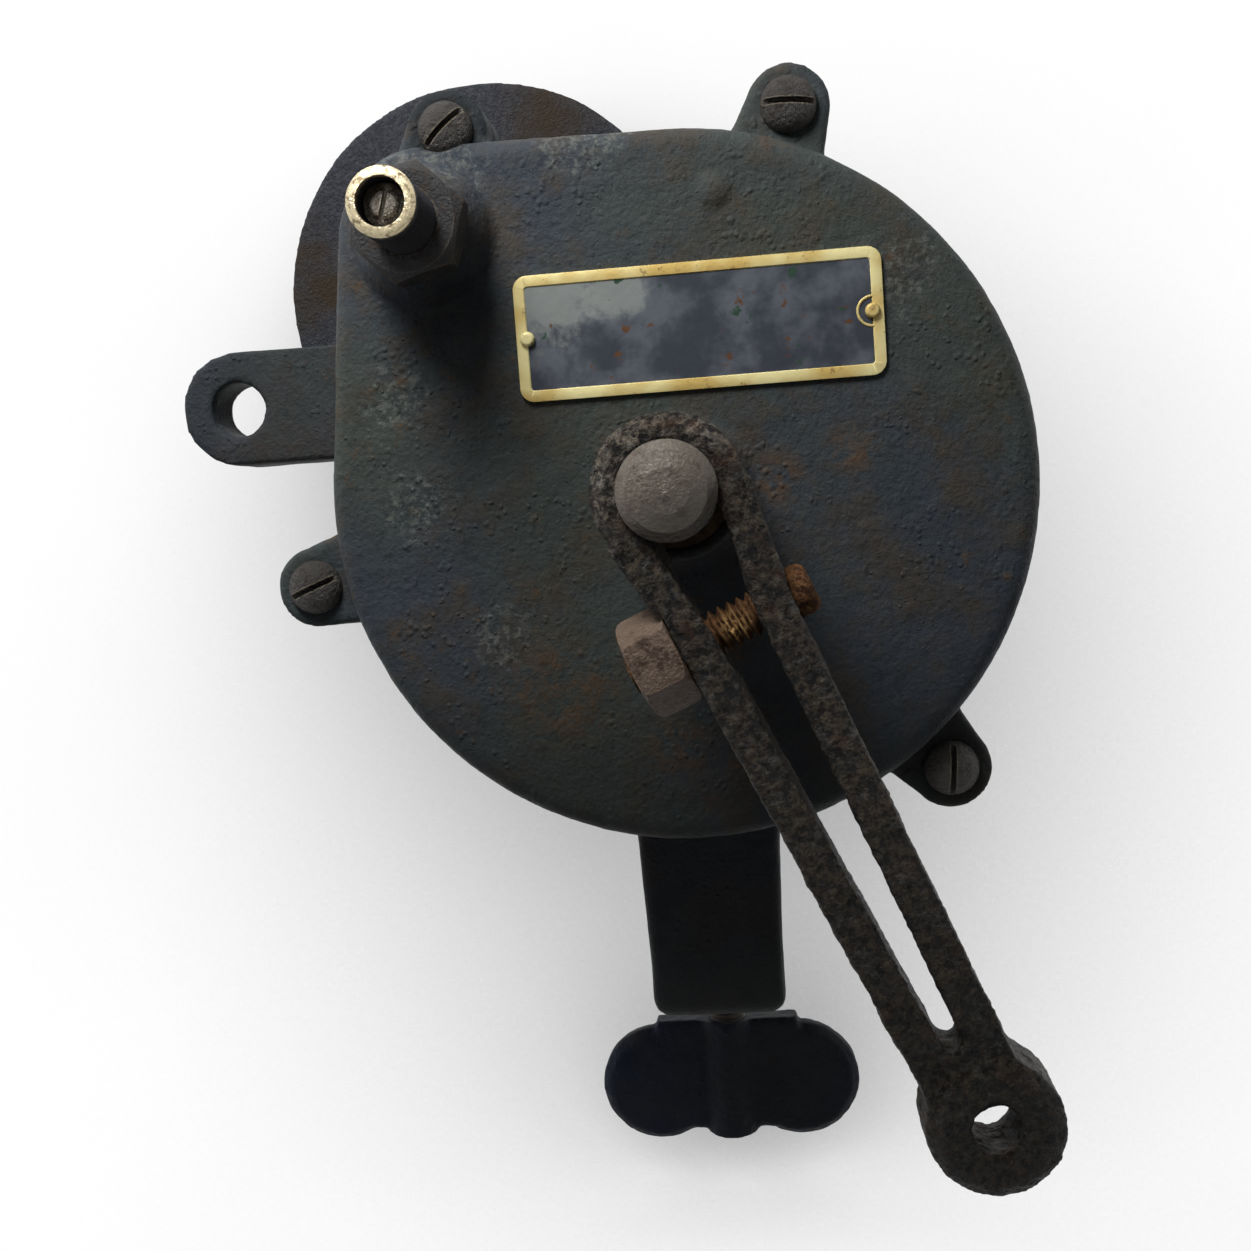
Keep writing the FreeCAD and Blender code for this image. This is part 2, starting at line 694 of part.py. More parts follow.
def rear_case():
    """The rear half of the case, in one casting with the leg, the seat and the lug."""
    piece = Piece("rear_case")
    piece.pad(case_outline(piece, piece.front_sketch("cover_depth"), "0"), "case_depth")
    piece.rounded(edge_at(number("cover_depth") + number("case_depth")), "back_round")
    ears(piece, "cover_depth", "case_ear")
    leg(piece)
    # The lug for the tool rest stands out level from the side of the case
    sketch = piece.front_sketch("lug_front")
    piece.outline(
        sketch,
        [
            ("-lug_x", "lug_z - lug_radius"),
            (f"-{CASE_RADIUS} + 3 * wall", "lug_z - lug_radius"),
            (f"-{CASE_RADIUS} + 3 * wall", "lug_z + lug_radius"),
            ("-lug_x", "lug_z + lug_radius"),
        ],
    )
    piece.pad(sketch, "lug_depth")
    sketch = piece.front_sketch("lug_front")
    piece.circle(sketch, "lug_radius", "-lug_x", "lug_z")
    piece.pad(sketch, "lug_depth")
    # The hollow for the gears
    hollow = case_outline(piece, piece.front_sketch("cover_depth"), "wall")
    piece.pocket(hollow, "case_depth - wall")
    # Bearing bosses, inside and outside
    back = f"{CASE_BACK} + rear_boss_rise"
    swell = "spindle_boss_top + rear_boss_swell"
    piece.revolve(
        [
            ("0", f"{CAVITY_BACK} - rear_inner_boss"),
            ("hub_boss_radius", f"{CAVITY_BACK} - rear_inner_boss"),
            ("hub_boss_radius", back),
            ("0", back),
        ]
    )
    piece.revolve(
        [
            ("0", f"{CAVITY_BACK} - inner_boss"),
            (swell, f"{CAVITY_BACK} - inner_boss"),
            (swell, CASE_BACK),
            (f"{swell} - rear_boss_draft", SPINDLE_BACK_BOSS),
            ("0", SPINDLE_BACK_BOSS),
        ],
        x=SPINDLE_X,
        z=SPINDLE_Z,
    )
    sketch = piece.front_sketch(f"{CAVITY_BACK} - rear_inner_boss")
    piece.circle(sketch, "shaft_end_radius + running_play + bush_wall")
    depth = "rear_inner_boss + wall + rear_boss_rise - rear_boss_floor"
    piece.pocket(sketch, depth)
    sketch = piece.front_sketch(f"{CAVITY_BACK} - inner_boss", SPINDLE_X, SPINDLE_Z)
    piece.circle(sketch, "arbor_radius + running_play + bush_wall")
    piece.pocket(sketch, "inner_boss + wall + spindle_rear_boss")
    # Holes: the ears, the lug and the clamp screw
    ear_holes(piece, "cover_depth", "case_ear", "screw_bolt / 2")
    sketch = piece.front_sketch("lug_front")
    piece.circle(sketch, "lug_hole", "-lug_x", "lug_z")
    piece.pocket(sketch, "lug_depth")
    sketch = piece.sketch("XY_Plane", JAW_FOOT)
    piece.circle(sketch, "clamp_screw_radius + screw_running_play", "0", SCREW_DEPTH)
    piece.pocket(sketch, "jaw_thick", outward=True)
    return piece


def ring(name, bore, outer, front, back, x="0", z="0"):
    """A plain ring: a bush or a washer."""
    piece = Piece(name, x, z)
    piece.revolve([(bore, front), (outer, front), (outer, back), (bore, back)])
    return piece


def bushes_and_washers():
    """The bearing bushes, and the thrust washers beside the main gear."""
    ring(
        "crank_bush_front",
        "shaft_radius + running_play",
        "shaft_radius + running_play + bush_wall",
        "-hub_boss_rise",
        "wall + inner_boss",
    )
    ring(
        "crank_bush_rear",
        "shaft_end_radius + running_play",
        "shaft_end_radius + running_play + bush_wall",
        f"{CAVITY_BACK} - rear_inner_boss",
        f"{CASE_BACK} + rear_boss_rise - rear_boss_floor",
    )
    ring(
        "spindle_bush_rear",
        "arbor_radius + running_play",
        "arbor_radius + running_play + bush_wall",
        f"{CAVITY_BACK} - inner_boss",
        SPINDLE_BACK_BOSS,
        SPINDLE_X,
        SPINDLE_Z,
    )
    ring(
        "thrust_washer_front",
        "shaft_radius",
        "washer_radius",
        "wall + inner_boss + end_play",
        "gear_hub_front",
    )
    ring(
        "thrust_washer_rear",
        "shaft_end_radius",
        "washer_radius",
        GEAR_HUB_BACK,
        f"{CAVITY_BACK} - rear_inner_boss - end_play",
    )


def hex_nut(name, across, height, front, bore, turn, x, z):
    """A hexagon nut with bevelled corners at both faces."""
    piece = Piece(name, x, z)
    corner = f"({across} / 2 / cos(30))"
    sketch = piece.front_sketch(front)
    turns = [f"({turn} + {60 * index})" for index in range(6)]
    piece.outline(
        sketch, [(f"{corner} * cos({at})", f"{corner} * sin({at})") for at in turns]
    )
    piece.pad(sketch, height)
    # The bevel is a ring-shaped cut that leaves a cone on each face
    for face, inward in ((front, f"{front} + 0.14 * {across}"),
                         (f"({front} + {height})", f"{front} + {height} - 0.14 * {across}")):
        piece.revolve(
            [
                (f"{across} * 0.47", face),
                (f"{corner} + 1", face),
                (f"{corner} + 1", inward),
            ],
            kind="Groove",
        )
    sketch = piece.front_sketch(front)
    piece.circle(sketch, bore)
    piece.pocket(sketch, height)
    return piece


def spindle_sleeve():
    """The threaded bearing sleeve at the front of the spindle, and its lock nut."""
    piece = Piece("spindle_sleeve", SPINDLE_X, SPINDLE_Z)
    bore = "(journal_radius + running_play)"
    piece.revolve(
        [
            ("mouth_radius", "-sleeve_rise"),
            ("sleeve_radius - sleeve_rim_round", "-sleeve_rise"),
            ("sleeve_radius", "-sleeve_rise + sleeve_rim_round"),
            ("sleeve_radius", "pinion_front - end_play"),
            (bore, "pinion_front - end_play"),
            (bore, "-sleeve_rise + mouth_depth"),
            ("mouth_radius", "-sleeve_rise + mouth_depth"),
        ]
    )
    front = "(-spindle_boss_rise - lock_nut_height)"
    hex_nut(
        "sleeve_lock_nut", "lock_nut_across", "lock_nut_height", front, "sleeve_radius",
        "lock_nut_turn", SPINDLE_X, SPINDLE_Z,
    )


def name_plate():
    """The bare plate on the cover, and the two pins that hold it."""
    piece = Piece("name_plate", "plate_x", "plate_z")
    sketch = piece.front_sketch("-plate_thick")
    half = ("plate_width / 2", "plate_height / 2")
    signs = (("", ""), ("-", ""), ("-", "-"), ("", "-"))
    piece.outline(sketch, [(f"{a}{half[0]}", f"{b}{half[1]}") for a, b in signs])
    piece.pad(sketch, "plate_thick")

    def upright(edge):
        box = edge.BoundBox
        return box.XLength < CLOSE and box.ZLength < CLOSE

    piece.rounded(upright, "plate_corner")
    sketch = piece.front_sketch("-plate_thick")
    for side in ("-", ""):
        piece.circle(sketch, "pin_radius", f"{side}(plate_width / 2 - pin_inset)")
    piece.pocket(sketch, "plate_thick")


def crank_shaft():
    """The main shaft, with its domed end, its shoulder and its keyway."""
    piece = Piece("crank_shaft")
    tip = f"({HUB_FRONT} - dome_rise)"
    end = f"({CASE_BACK} + rear_boss_rise - rear_boss_floor - end_play)"
    piece.revolve(
        [
            ("0", tip),
            ("shaft_radius * 0.45", f"{tip} + dome_edge * 0.2"),
            ("shaft_radius * 0.8", f"{tip} + dome_edge * 0.7"),
            ("shaft_radius", f"{tip} + dome_edge * 1.6"),
            ("shaft_radius", GEAR_HUB_BACK),
            ("shaft_end_radius", GEAR_HUB_BACK),
            ("shaft_end_radius", end),
            ("0", end),
        ]
    )
    key_slot(piece)


def key_slot(piece):
    """The half of the keyway that lies in the shaft or in the gear hub."""
    sketch = piece.front_sketch("gear_hub_front + (gear_hub_length - key_length) / 2")
    low = "shaft_radius - key_width / 2"
    high = "shaft_radius + key_width / 2"
    piece.outline(
        sketch,
        [
            ("-key_width / 2", low),
            ("key_width / 2", low),
            ("key_width / 2", high),
            ("-key_width / 2", high),
        ],
    )
    piece.pocket(sketch, "key_length")


def gear_key():
    """The square key between the main shaft and the gear."""
    piece = Piece("gear_key")
    sketch = piece.front_sketch("gear_hub_front + (gear_hub_length - key_length) / 2")
    low = "shaft_radius - key_width / 2"
    high = "shaft_radius + key_width / 2"
    piece.outline(
        sketch,
        [
            ("-key_width / 2", low),
            ("key_width / 2", low),
            ("key_width / 2", high),
            ("-key_width / 2", high),
        ],
    )
    piece.pad(sketch, "key_length")
    return piece


def involute_half_angle(radius, base, half_pitch_angle, pitch):
    """Half the angle that a tooth covers at a radius."""

    def roll(at):
        slope = math.sqrt(max((at / base) ** 2 - 1.0, 0.0))
        return slope - math.atan(slope)

    return half_pitch_angle + roll(pitch) - roll(radius)


def gear_outline(teeth, shift, first):
    """The closed outline of a spur gear, with a tooth centred at the first angle.

    Each flank is an arc through three points of its involute, with a straight foot under the
    base circle; tips and roots are arcs about the axis.
    """
    module = number("gear_module")
    pressure = math.radians(number("pressure_angle"))
    pitch = module * teeth / 2
    base = pitch * math.cos(pressure)
    tip = pitch + module * (1 + shift)
    root = pitch - module * (1 + number("tooth_clearance") - shift)
    thickness = module * (math.pi / 2 + 2 * shift * math.tan(pressure)) - number("backlash") / 2
    half = thickness / 2 / pitch
    foot = max(base * 1.0005, root + 0.05 * module)

    def point(radius, angle):
        return FreeCAD.Vector(radius * math.cos(angle), 0, radius * math.sin(angle))

    def flank(radius, side, centre):
        return point(radius, centre + side * involute_half_angle(radius, base, half, pitch))

    edges = []
    middle = (foot + tip) / 2
    step = 2 * math.pi / teeth
    for index in range(int(teeth)):
        centre = math.radians(first) + index * step
        foot_half = involute_half_angle(foot, base, half, pitch)
        low = flank(foot, -1, centre)
        root_start = point(root, centre - foot_half)
        edges.append(Part.LineSegment(root_start, low).toShape())
        rise = Part.Arc(low, flank(middle, -1, centre), flank(tip, -1, centre))
        edges.append(rise.toShape())
        crest = Part.Arc(flank(tip, -1, centre), point(tip, centre), flank(tip, 1, centre))
        edges.append(crest.toShape())
        fall = Part.Arc(flank(tip, 1, centre), flank(middle, 1, centre), flank(foot, 1, centre))
        edges.append(fall.toShape())
        root_end = point(root, centre + foot_half)
        edges.append(Part.LineSegment(flank(foot, 1, centre), root_end).toShape())
        next_start = point(root, centre + step - foot_half)
        valley = Part.Arc(root_end, point(root, centre + step / 2), next_start)
        edges.append(valley.toShape())
    return Part.Wire(edges)


def toothed(name, shape, x, z):
    """A gear whose outline is set by its teeth, placed on its own axis."""
    made = doc.addObject("Part::Feature", name)
    made.Label = name
    made.Shape = shape
    depth = number("cover_depth") + number("case_depth") + number("seat_reach") / 2
    place = FreeCAD.Vector(x, -depth, number("seat_drop") + z)
    made.Placement = FreeCAD.Placement(place, FreeCAD.Rotation())
    return made


def cylinder(radius, front, length):
    """A solid cylinder about the piece's axis."""
    start = FreeCAD.Vector(0, front, 0)
    return Part.makeCylinder(radius, length, start, FreeCAD.Vector(0, 1, 0))


def main_gear():
    """The large gear: a toothed rim, a thin web and a hub with half of the keyway."""
    face = number("gear_face")
    front = number("gear_front")
    web = number("gear_web")
    module = number("gear_module")
    teeth = number("gear_teeth")
    shift = -number("profile_shift")
    # A gap between two teeth faces the spindle, where the pinion has a tooth
    first = number("spindle_angle") + 180.0 / teeth
    blank = Part.Face(gear_outline(teeth, shift, first)).extrude(FreeCAD.Vector(0, face, 0))
    blank.translate(FreeCAD.Vector(0, front, 0))
    root = module * teeth / 2 - module * (1 + number("tooth_clearance") - shift)
    inside = root - number("gear_rim")
    dish = (face - web) / 2
    hub_front = number("gear_hub_front")
    for start in (front, front + face - dish):
        blank = blank.cut(cylinder(inside, start, dish))
    blank = blank.fuse(cylinder(number("gear_hub_radius"), hub_front, number("gear_hub_length")))
    bore = cylinder(number("shaft_radius"), hub_front, number("gear_hub_length"))
    key = number("key_width")
    key_front = hub_front + (number("gear_hub_length") - number("key_length")) / 2
    corner = FreeCAD.Vector(-key / 2, key_front, number("shaft_radius") - key / 2)
    slot = Part.makeBox(key, number("key_length"), key, corner)
    shape = blank.cut(bore).cut(slot).removeSplitter()
    return toothed("main_gear", shape, 0.0, 0.0)


def pinion():
    """The small gear on the spindle, with a tooth towards the main axis."""
    teeth = number("pinion_teeth")
    first = number("spindle_angle") + 180.0
    shape = Part.Face(gear_outline(teeth, number("profile_shift"), first))
    shape = shape.extrude(FreeCAD.Vector(0, number("pinion_length"), 0))
    shape.translate(FreeCAD.Vector(0, number("pinion_front"), 0))
    seat = cylinder(
        number("pinion_seat_radius"), number("pinion_front"), number("pinion_length")
    )
    x, z = spindle_point()
    return toothed("pinion", shape.cut(seat), x, z)


def crank_arm():
    """The cast crank: a split clamp hub, two bars beside a slot, and the handle's eye."""
    piece = Piece("crank_arm", turn="-rest_angle")
    # The hub has a bevelled front edge
    piece.revolve(
        [
            ("0", HUB_FRONT),
            ("hub_radius - hub_bevel", HUB_FRONT),
            ("hub_radius", f"{HUB_FRONT} + hub_bevel"),
            ("hub_radius", HUB_BACK),
            ("0", HUB_BACK),
        ]
    )
    # The bars, raised in front of the hub and starting at its edge
    sketch = piece.front_sketch(ARM_FRONT)
    piece.outline(
        sketch,
        [
            ("-hub_radius", "-arm_root"),
            ("-arm_half_width", "-bolt_place"),
            ("-arm_tip_half_width", "-arm_tip"),
            ("-arm_tip_half_width", "-throw"),
            ("arm_tip_half_width", "-throw"),
            ("arm_tip_half_width", "-arm_tip"),
            ("arm_half_width", "-bolt_place"),
            ("hub_radius", "-arm_root"),
        ],
    )
    piece.pad(sketch, "arm_depth")
    # A step round the hub's front keeps the bars clear of it
    sketch = piece.front_sketch(ARM_FRONT)
    piece.circle(sketch, "hub_radius")
    piece.pocket(sketch, "arm_raise")
    # The eye, with its raised rim
    depth = f"({EYE_FRONT} + eye_raise)"
    piece.revolve(
        [
            ("0", EYE_FRONT),
            ("eye_rim", EYE_FRONT),
            ("eye_radius", depth),
            ("eye_radius", f"{EYE_FRONT} + eye_depth"),
            ("0", f"{EYE_FRONT} + eye_depth"),
        ],
        z="-throw",
    )
    side = number("arm_tip_half_width")

    def eye_corner(edge):
        box = edge.BoundBox
        spot = box.Center
        beside = box.XLength + box.ZLength < CLOSE and abs(abs(spot.x) - side) < CLOSE
        return beside and -number("throw") < spot.z < -number("arm_tip") - CLOSE

    piece.rounded(eye_corner, "eye_blend")
    # The slot, from the bore out to its round end
    sketch = piece.front_sketch(EYE_FRONT)
    piece.outline(
        sketch,
        [
            ("-slot_half_hub", "0"),
            ("-slot_half_hub", "-shaft_radius"),
            ("-slot_half_bolt", "-bolt_place"),
            ("-slot_half_tip", "-slot_end"),
            ("slot_half_tip", "-slot_end"),
            ("slot_half_bolt", "-bolt_place"),
            ("slot_half_hub", "-shaft_radius"),
            ("slot_half_hub", "0"),
        ],
    )
    through = "arm_raise + eye_raise + hub_rise"
    piece.pocket(sketch, through)
    sketch = piece.front_sketch(EYE_FRONT)
    piece.circle(sketch, "slot_half_tip", "0", "-slot_end")
    piece.pocket(sketch, through)
    sketch = piece.front_sketch(EYE_FRONT)
    piece.circle(sketch, "shaft_radius")
    piece.pocket(sketch, through)
    sketch = piece.front_sketch(EYE_FRONT)
    piece.circle(sketch, "eye_hole", "0", "-throw")
    piece.pocket(sketch, "eye_depth")
    # The hole for the clamp bolt runs across both bars
    sketch = piece.sketch("YZ_Plane", "-hub_radius")
    piece.circle(sketch, "bolt_radius", BOLT_DEPTH, "-bolt_place")
    piece.pocket(sketch, "2 * hub_radius", outward=True)
    # Flat seats for the head on the right and for the nut on the left
    sketch = piece.sketch("YZ_Plane", "arm_half_width")
    piece.circle(sketch, "bolt_head + seat_margin", BOLT_DEPTH, "-bolt_place")
    piece.pocket(sketch, "hub_radius", outward=True)
    sketch = piece.sketch("YZ_Plane", "-arm_half_width")
    piece.circle(sketch, "bolt_nut_across / 2 / cos(30) + seat_margin", BOLT_DEPTH, "-bolt_place")
    piece.pocket(sketch, "hub_radius")
    return piece


def crank_bolt():
    """The bolt that closes the split hub: a round head on the right, its end on the left."""
    piece = Piece("crank_clamp_bolt", turn="-rest_angle")
    sketch = piece.sketch("YZ_Plane", "arm_half_width")
    piece.circle(sketch, "bolt_head", BOLT_DEPTH, "-bolt_place")
    piece.pad(sketch, "bolt_head_rise", outward=True)
    end = number("arm_half_width") + number("bolt_head_rise")
    piece.rounded(lambda edge: edge.BoundBox.XMin > end - CLOSE, "bolt_head_round")
    sketch = piece.sketch("YZ_Plane", "arm_half_width")
    piece.circle(sketch, "bolt_radius", BOLT_DEPTH, "-bolt_place")
    piece.pad(sketch, "2 * arm_half_width + bolt_nut_height + bolt_past_nut")


def crank_nut():
    """The hexagon nut on the clamp bolt."""
    piece = Piece("crank_clamp_nut", turn="-rest_angle")
    corner = "(bolt_nut_across / 2 / cos(30))"
    sketch = piece.sketch("YZ_Plane", "-arm_half_width")
    turns = [f"({60 * index} + bolt_nut_turn)" for index in range(6)]
    piece.outline(
        sketch,
        [
            (f"{BOLT_DEPTH} + {corner} * cos({turn})", f"-bolt_place + {corner} * sin({turn})")
            for turn in turns
        ],
    )
    piece.pad(sketch, "bolt_nut_height")
    sketch = piece.sketch("YZ_Plane", "-arm_half_width")
    piece.circle(sketch, "bolt_radius", BOLT_DEPTH, "-bolt_place")
    piece.pocket(sketch, "bolt_nut_height")


def wheel_spindle():
    """The fast spindle, from the stub in the sleeve's mouth to the arbor's threaded end."""
    piece = Piece("wheel_spindle", SPINDLE_X, SPINDLE_Z)
    tip = "(-sleeve_rise + stub_sink)"
    collar = f"({CAVITY_BACK} - inner_boss - end_play)"
    piece.revolve(
        [
            ("0", tip),
            ("stub_radius - stub_bevel", tip),
            ("stub_radius", f"{tip} + stub_bevel"),
            ("stub_radius", f"{tip} + stub_length"),
            ("journal_radius", f"{tip} + stub_length"),
            ("journal_radius", "pinion_front"),
            ("pinion_seat_radius", "pinion_front"),
            ("pinion_seat_radius", PINION_BACK),
            ("collar_radius", PINION_BACK),
            ("collar_radius", f"{PINION_BACK} + collar_length"),
            ("arbor_radius + arbor_shoulder", f"{PINION_BACK} + collar_length"),
            ("arbor_radius + arbor_shoulder", collar),
            ("arbor_radius", collar),
            ("arbor_radius", f"{ARBOR_END} - arbor_bevel"),
            ("arbor_radius - arbor_bevel", ARBOR_END),
            ("0", ARBOR_END),
        ]
    )
    # A driver's slot in the stub
    sketch = piece.front_sketch(tip, turn="stub_slot_turn")
    piece.outline(
        sketch,
        [
            ("-stub_radius", "-stub_slot / 2"),
            ("stub_radius", "-stub_slot / 2"),
            ("stub_radius", "stub_slot / 2"),
            ("-stub_radius", "stub_slot / 2"),
        ],
    )
    piece.pocket(sketch, "stub_slot_depth")


def wheel_parts():
    """The grinding wheel between its flanges, with the washer and nut on the arbor."""
    where = (SPINDLE_X, SPINDLE_Z)
    piece = Piece("inner_flange", *where)
    back = f"({FLANGE_FRONT} + flange_width)"
    piece.revolve(
        [
            ("arbor_radius", FLANGE_FRONT),
            ("flange_radius * 0.6", FLANGE_FRONT),
            ("flange_radius", f"{FLANGE_FRONT} + flange_width * 0.4"),
            ("flange_radius", back),
            ("flange_radius - flange_rim", back),
            ("flange_radius - flange_rim", f"{back} - flange_recess"),
            ("arbor_radius", f"{back} - flange_recess"),
        ]
    )
    piece = Piece("outer_flange", *where)
    piece.revolve(
        [
            ("arbor_radius", f"{OUTER_FLANGE_FRONT} + flange_recess"),
            ("flange_radius - flange_rim", f"{OUTER_FLANGE_FRONT} + flange_recess"),
            ("flange_radius - flange_rim", OUTER_FLANGE_FRONT),
            ("flange_radius", OUTER_FLANGE_FRONT),
            ("flange_radius", f"{OUTER_FLANGE_FRONT} + flange_width * 0.6"),
            ("flange_radius * 0.6", ARBOR_WASHER_FRONT),
            ("arbor_radius", ARBOR_WASHER_FRONT),
        ]
    )
    ring("blotter_inner", "arbor_radius + 0.3", "blotter_radius",
         f"{WHEEL_FRONT} - blotter", WHEEL_FRONT, *where)
    ring("blotter_outer", "arbor_radius + 0.3", "blotter_radius",
         WHEEL_BACK, f"{WHEEL_BACK} + blotter", *where)
    piece = Piece("grinding_wheel", *where)
    piece.revolve(
        [
            ("arbor_radius", WHEEL_FRONT),
            ("wheel_radius - wheel_edge", WHEEL_FRONT),
            ("wheel_radius", f"{WHEEL_FRONT} + wheel_edge"),
            ("wheel_radius", f"{WHEEL_BACK} - wheel_edge"),
            ("wheel_radius - wheel_edge", WHEEL_BACK),
            ("arbor_radius", WHEEL_BACK),
        ]
    )
    ring("arbor_washer", "arbor_radius", "arbor_washer_radius", ARBOR_WASHER_FRONT,
         ARBOR_NUT_FRONT, *where)
    hex_nut("arbor_nut", "arbor_nut_across", "arbor_nut_height", ARBOR_NUT_FRONT,
            "arbor_radius", "arbor_nut_turn", *where)


def screw(place, turn):
    """One round-headed cover screw, as a separate body."""
    reach, x, z = place[1], place[3], place[4]
    piece = Piece("cover_screw_body")
    sketch = piece.front_sketch(EAR_SEAT, x, z, turn)
    piece.circle(sketch, "screw_bolt / 2", reach)
    piece.pad(sketch, "screw_reach")
    sketch = piece.front_sketch(f"{EAR_SEAT} - screw_head_rise", x, z, turn)
    piece.circle(sketch, "screw_head / 2", reach)
    piece.pad(sketch, "screw_head_rise")
    seat = number("cover_depth") - number("cover_ear") + number("spot_face")
    piece.rounded(edge_at(seat - number("screw_head_rise")), "screw_head_rise * screw_head_dome")
    return piece.body


def cover_screws():
    """The screws that hold the two halves of the case, one in each ear."""
    turns = [f"(ear_angle + {360 * index / EAR_COUNT})" for index in range(EAR_COUNT)]
    bodies = [screw(RIM_EAR, turn) for turn in turns]
    bodies.append(screw(CORNER_EAR, "corner_ear_angle"))
    return group("cover_screws", bodies)


def group(name, bodies):
    """Several like pieces in one node, each its own solid."""
    made = doc.addObject("Part::Compound", name)
    made.Label = name
    made.Links = bodies
    doc.recompute()
    return made


def name_plate_pin(side):
    """One drive pin of the name plate."""
    piece = Piece("name_plate_pin_body", "plate_x", "plate_z")
    x = f"{side}(plate_width / 2 - pin_inset)"
    top = "-plate_thick - pin_head_rise"
    sketch = piece.front_sketch(top, x)
    piece.circle(sketch, "pin_head")
    piece.pad(sketch, "pin_head_rise")
    front = -number("plate_thick") - number("pin_head_rise")
    piece.rounded(edge_at(front), "pin_head_rise * pin_head_dome")
    sketch = piece.front_sketch("-plate_thick", x)
    piece.circle(sketch, "pin_radius")
    piece.pad(sketch, "plate_thick + pin_reach")
    return piece.body


def clamp_screw():
    """The clamp screw: a threaded stem with a cast wing under it and a plain tip above."""
    piece = Piece("clamp_screw")
    # The web between the two lobes
    sketch = piece.front_sketch(SCREW_DEPTH)
    piece.outline(
        sketch,
        [
            ("-wing_lobe_spread", "-wing_lobe_z - wing_web_foot"),
            ("wing_lobe_spread", "-wing_lobe_z - wing_web_foot"),
            ("wing_lobe_spread", "-wing_lobe_z + wing_web_top"),
            ("-wing_lobe_spread", "-wing_lobe_z + wing_web_top"),
        ],
    )
    piece.pad_both(sketch, "wing_thick")
    piece.rounded(lambda edge: edge.BoundBox.XLength > CLOSE, "wing_round")
    sketch = piece.sketch("XY_Plane", "-wing_hub_top - wing_hub_length")
    piece.circle(sketch, "wing_hub_radius", "0", SCREW_DEPTH)
    piece.pad(sketch, "wing_hub_length", outward=True)
    for side in ("-", ""):
        piece.revolve(
            [
                ("0", "-wing_thick / 2"),
                ("wing_lobe_radius - wing_round", "-wing_thick / 2"),
                ("wing_lobe_radius", "-wing_thick / 2 + wing_round"),
                ("wing_lobe_radius", "wing_thick / 2 - wing_round"),
                ("wing_lobe_radius - wing_round", "wing_thick / 2"),
                ("0", "wing_thick / 2"),
            ],
            depth=SCREW_DEPTH,
            x=f"{side}wing_lobe_spread",
            z="-wing_lobe_z",
        )
    sketch = piece.sketch("XY_Plane", "-wing_hub_top")
    piece.circle(sketch, "clamp_screw_radius", "0", SCREW_DEPTH)
    piece.pad(sketch, f"wing_hub_top + {PAD_FOOT} - pad_play", outward=True)
    sketch = piece.sketch("XY_Plane", f"{PAD_FOOT} - pad_play")
    piece.circle(sketch, "tip_radius", "0", SCREW_DEPTH)
    piece.pad(sketch, "pad_socket", outward=True)


def swivel_pad():
    """The round pad that the clamp screw presses against the underside of the bench."""
    piece = Piece("swivel_pad")
    sketch = piece.sketch("XY_Plane", PAD_FOOT)
    piece.circle(sketch, "pad_radius", "0", SCREW_DEPTH)
    piece.pad(sketch, "pad_thick", outward=True)
    sketch = piece.sketch("XY_Plane", PAD_FOOT)
    piece.circle(sketch, "tip_radius + screw_running_play", "0", SCREW_DEPTH)
    piece.pocket(sketch, "pad_socket", outward=True)
    return piece


front_cover()
rear_case()
bushes_and_washers()
spindle_sleeve()
name_plate()
group("name_plate_pins", [name_plate_pin("-"), name_plate_pin("")])
cover_screws()
crank_shaft()
gear_key()
main_gear()
crank_arm()
crank_bolt()
crank_nut()
wheel_spindle()
pinion()
wheel_parts()
clamp_screw()
swivel_pad()
doc.recompute()

# Every object must have computed, and every piece must be a sound solid, before any is written
for item in doc.Objects:
    if "Invalid" in item.State or "Error" in item.State:
        raise RuntimeError(f"{item.Name} failed: {item.State}")
grouped = {member for item in doc.Objects if item.TypeId == "Part::Compound" for member in item.Links}
os.makedirs("parts", exist_ok=True)
for item in doc.Objects:
    if item.TypeId not in ("PartDesign::Body", "Part::Compound", "Part::Feature"):
        continue
    if item in grouped:
        continue
    if item.Shape.isNull() or not item.Shape.isValid():
        raise RuntimeError(f"{item.Label} is not a sound solid")
    item.Shape.exportStep(f"parts/{item.Label}.step")
    print(f"{item.Label}: {len(item.Shape.Solids)} solid, {item.Shape.Volume / 1000:.2f} cm3")
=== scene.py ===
"""Dresses the hand crank bench grinder: worn castings, slotted screws, threads, a bare name plate and a studio."""

from __future__ import annotations

import logging
import math
from collections.abc import Callable
from dataclasses import dataclass, field
from enum import Enum

import bmesh
import bpy
from mathutils import Matrix, Vector


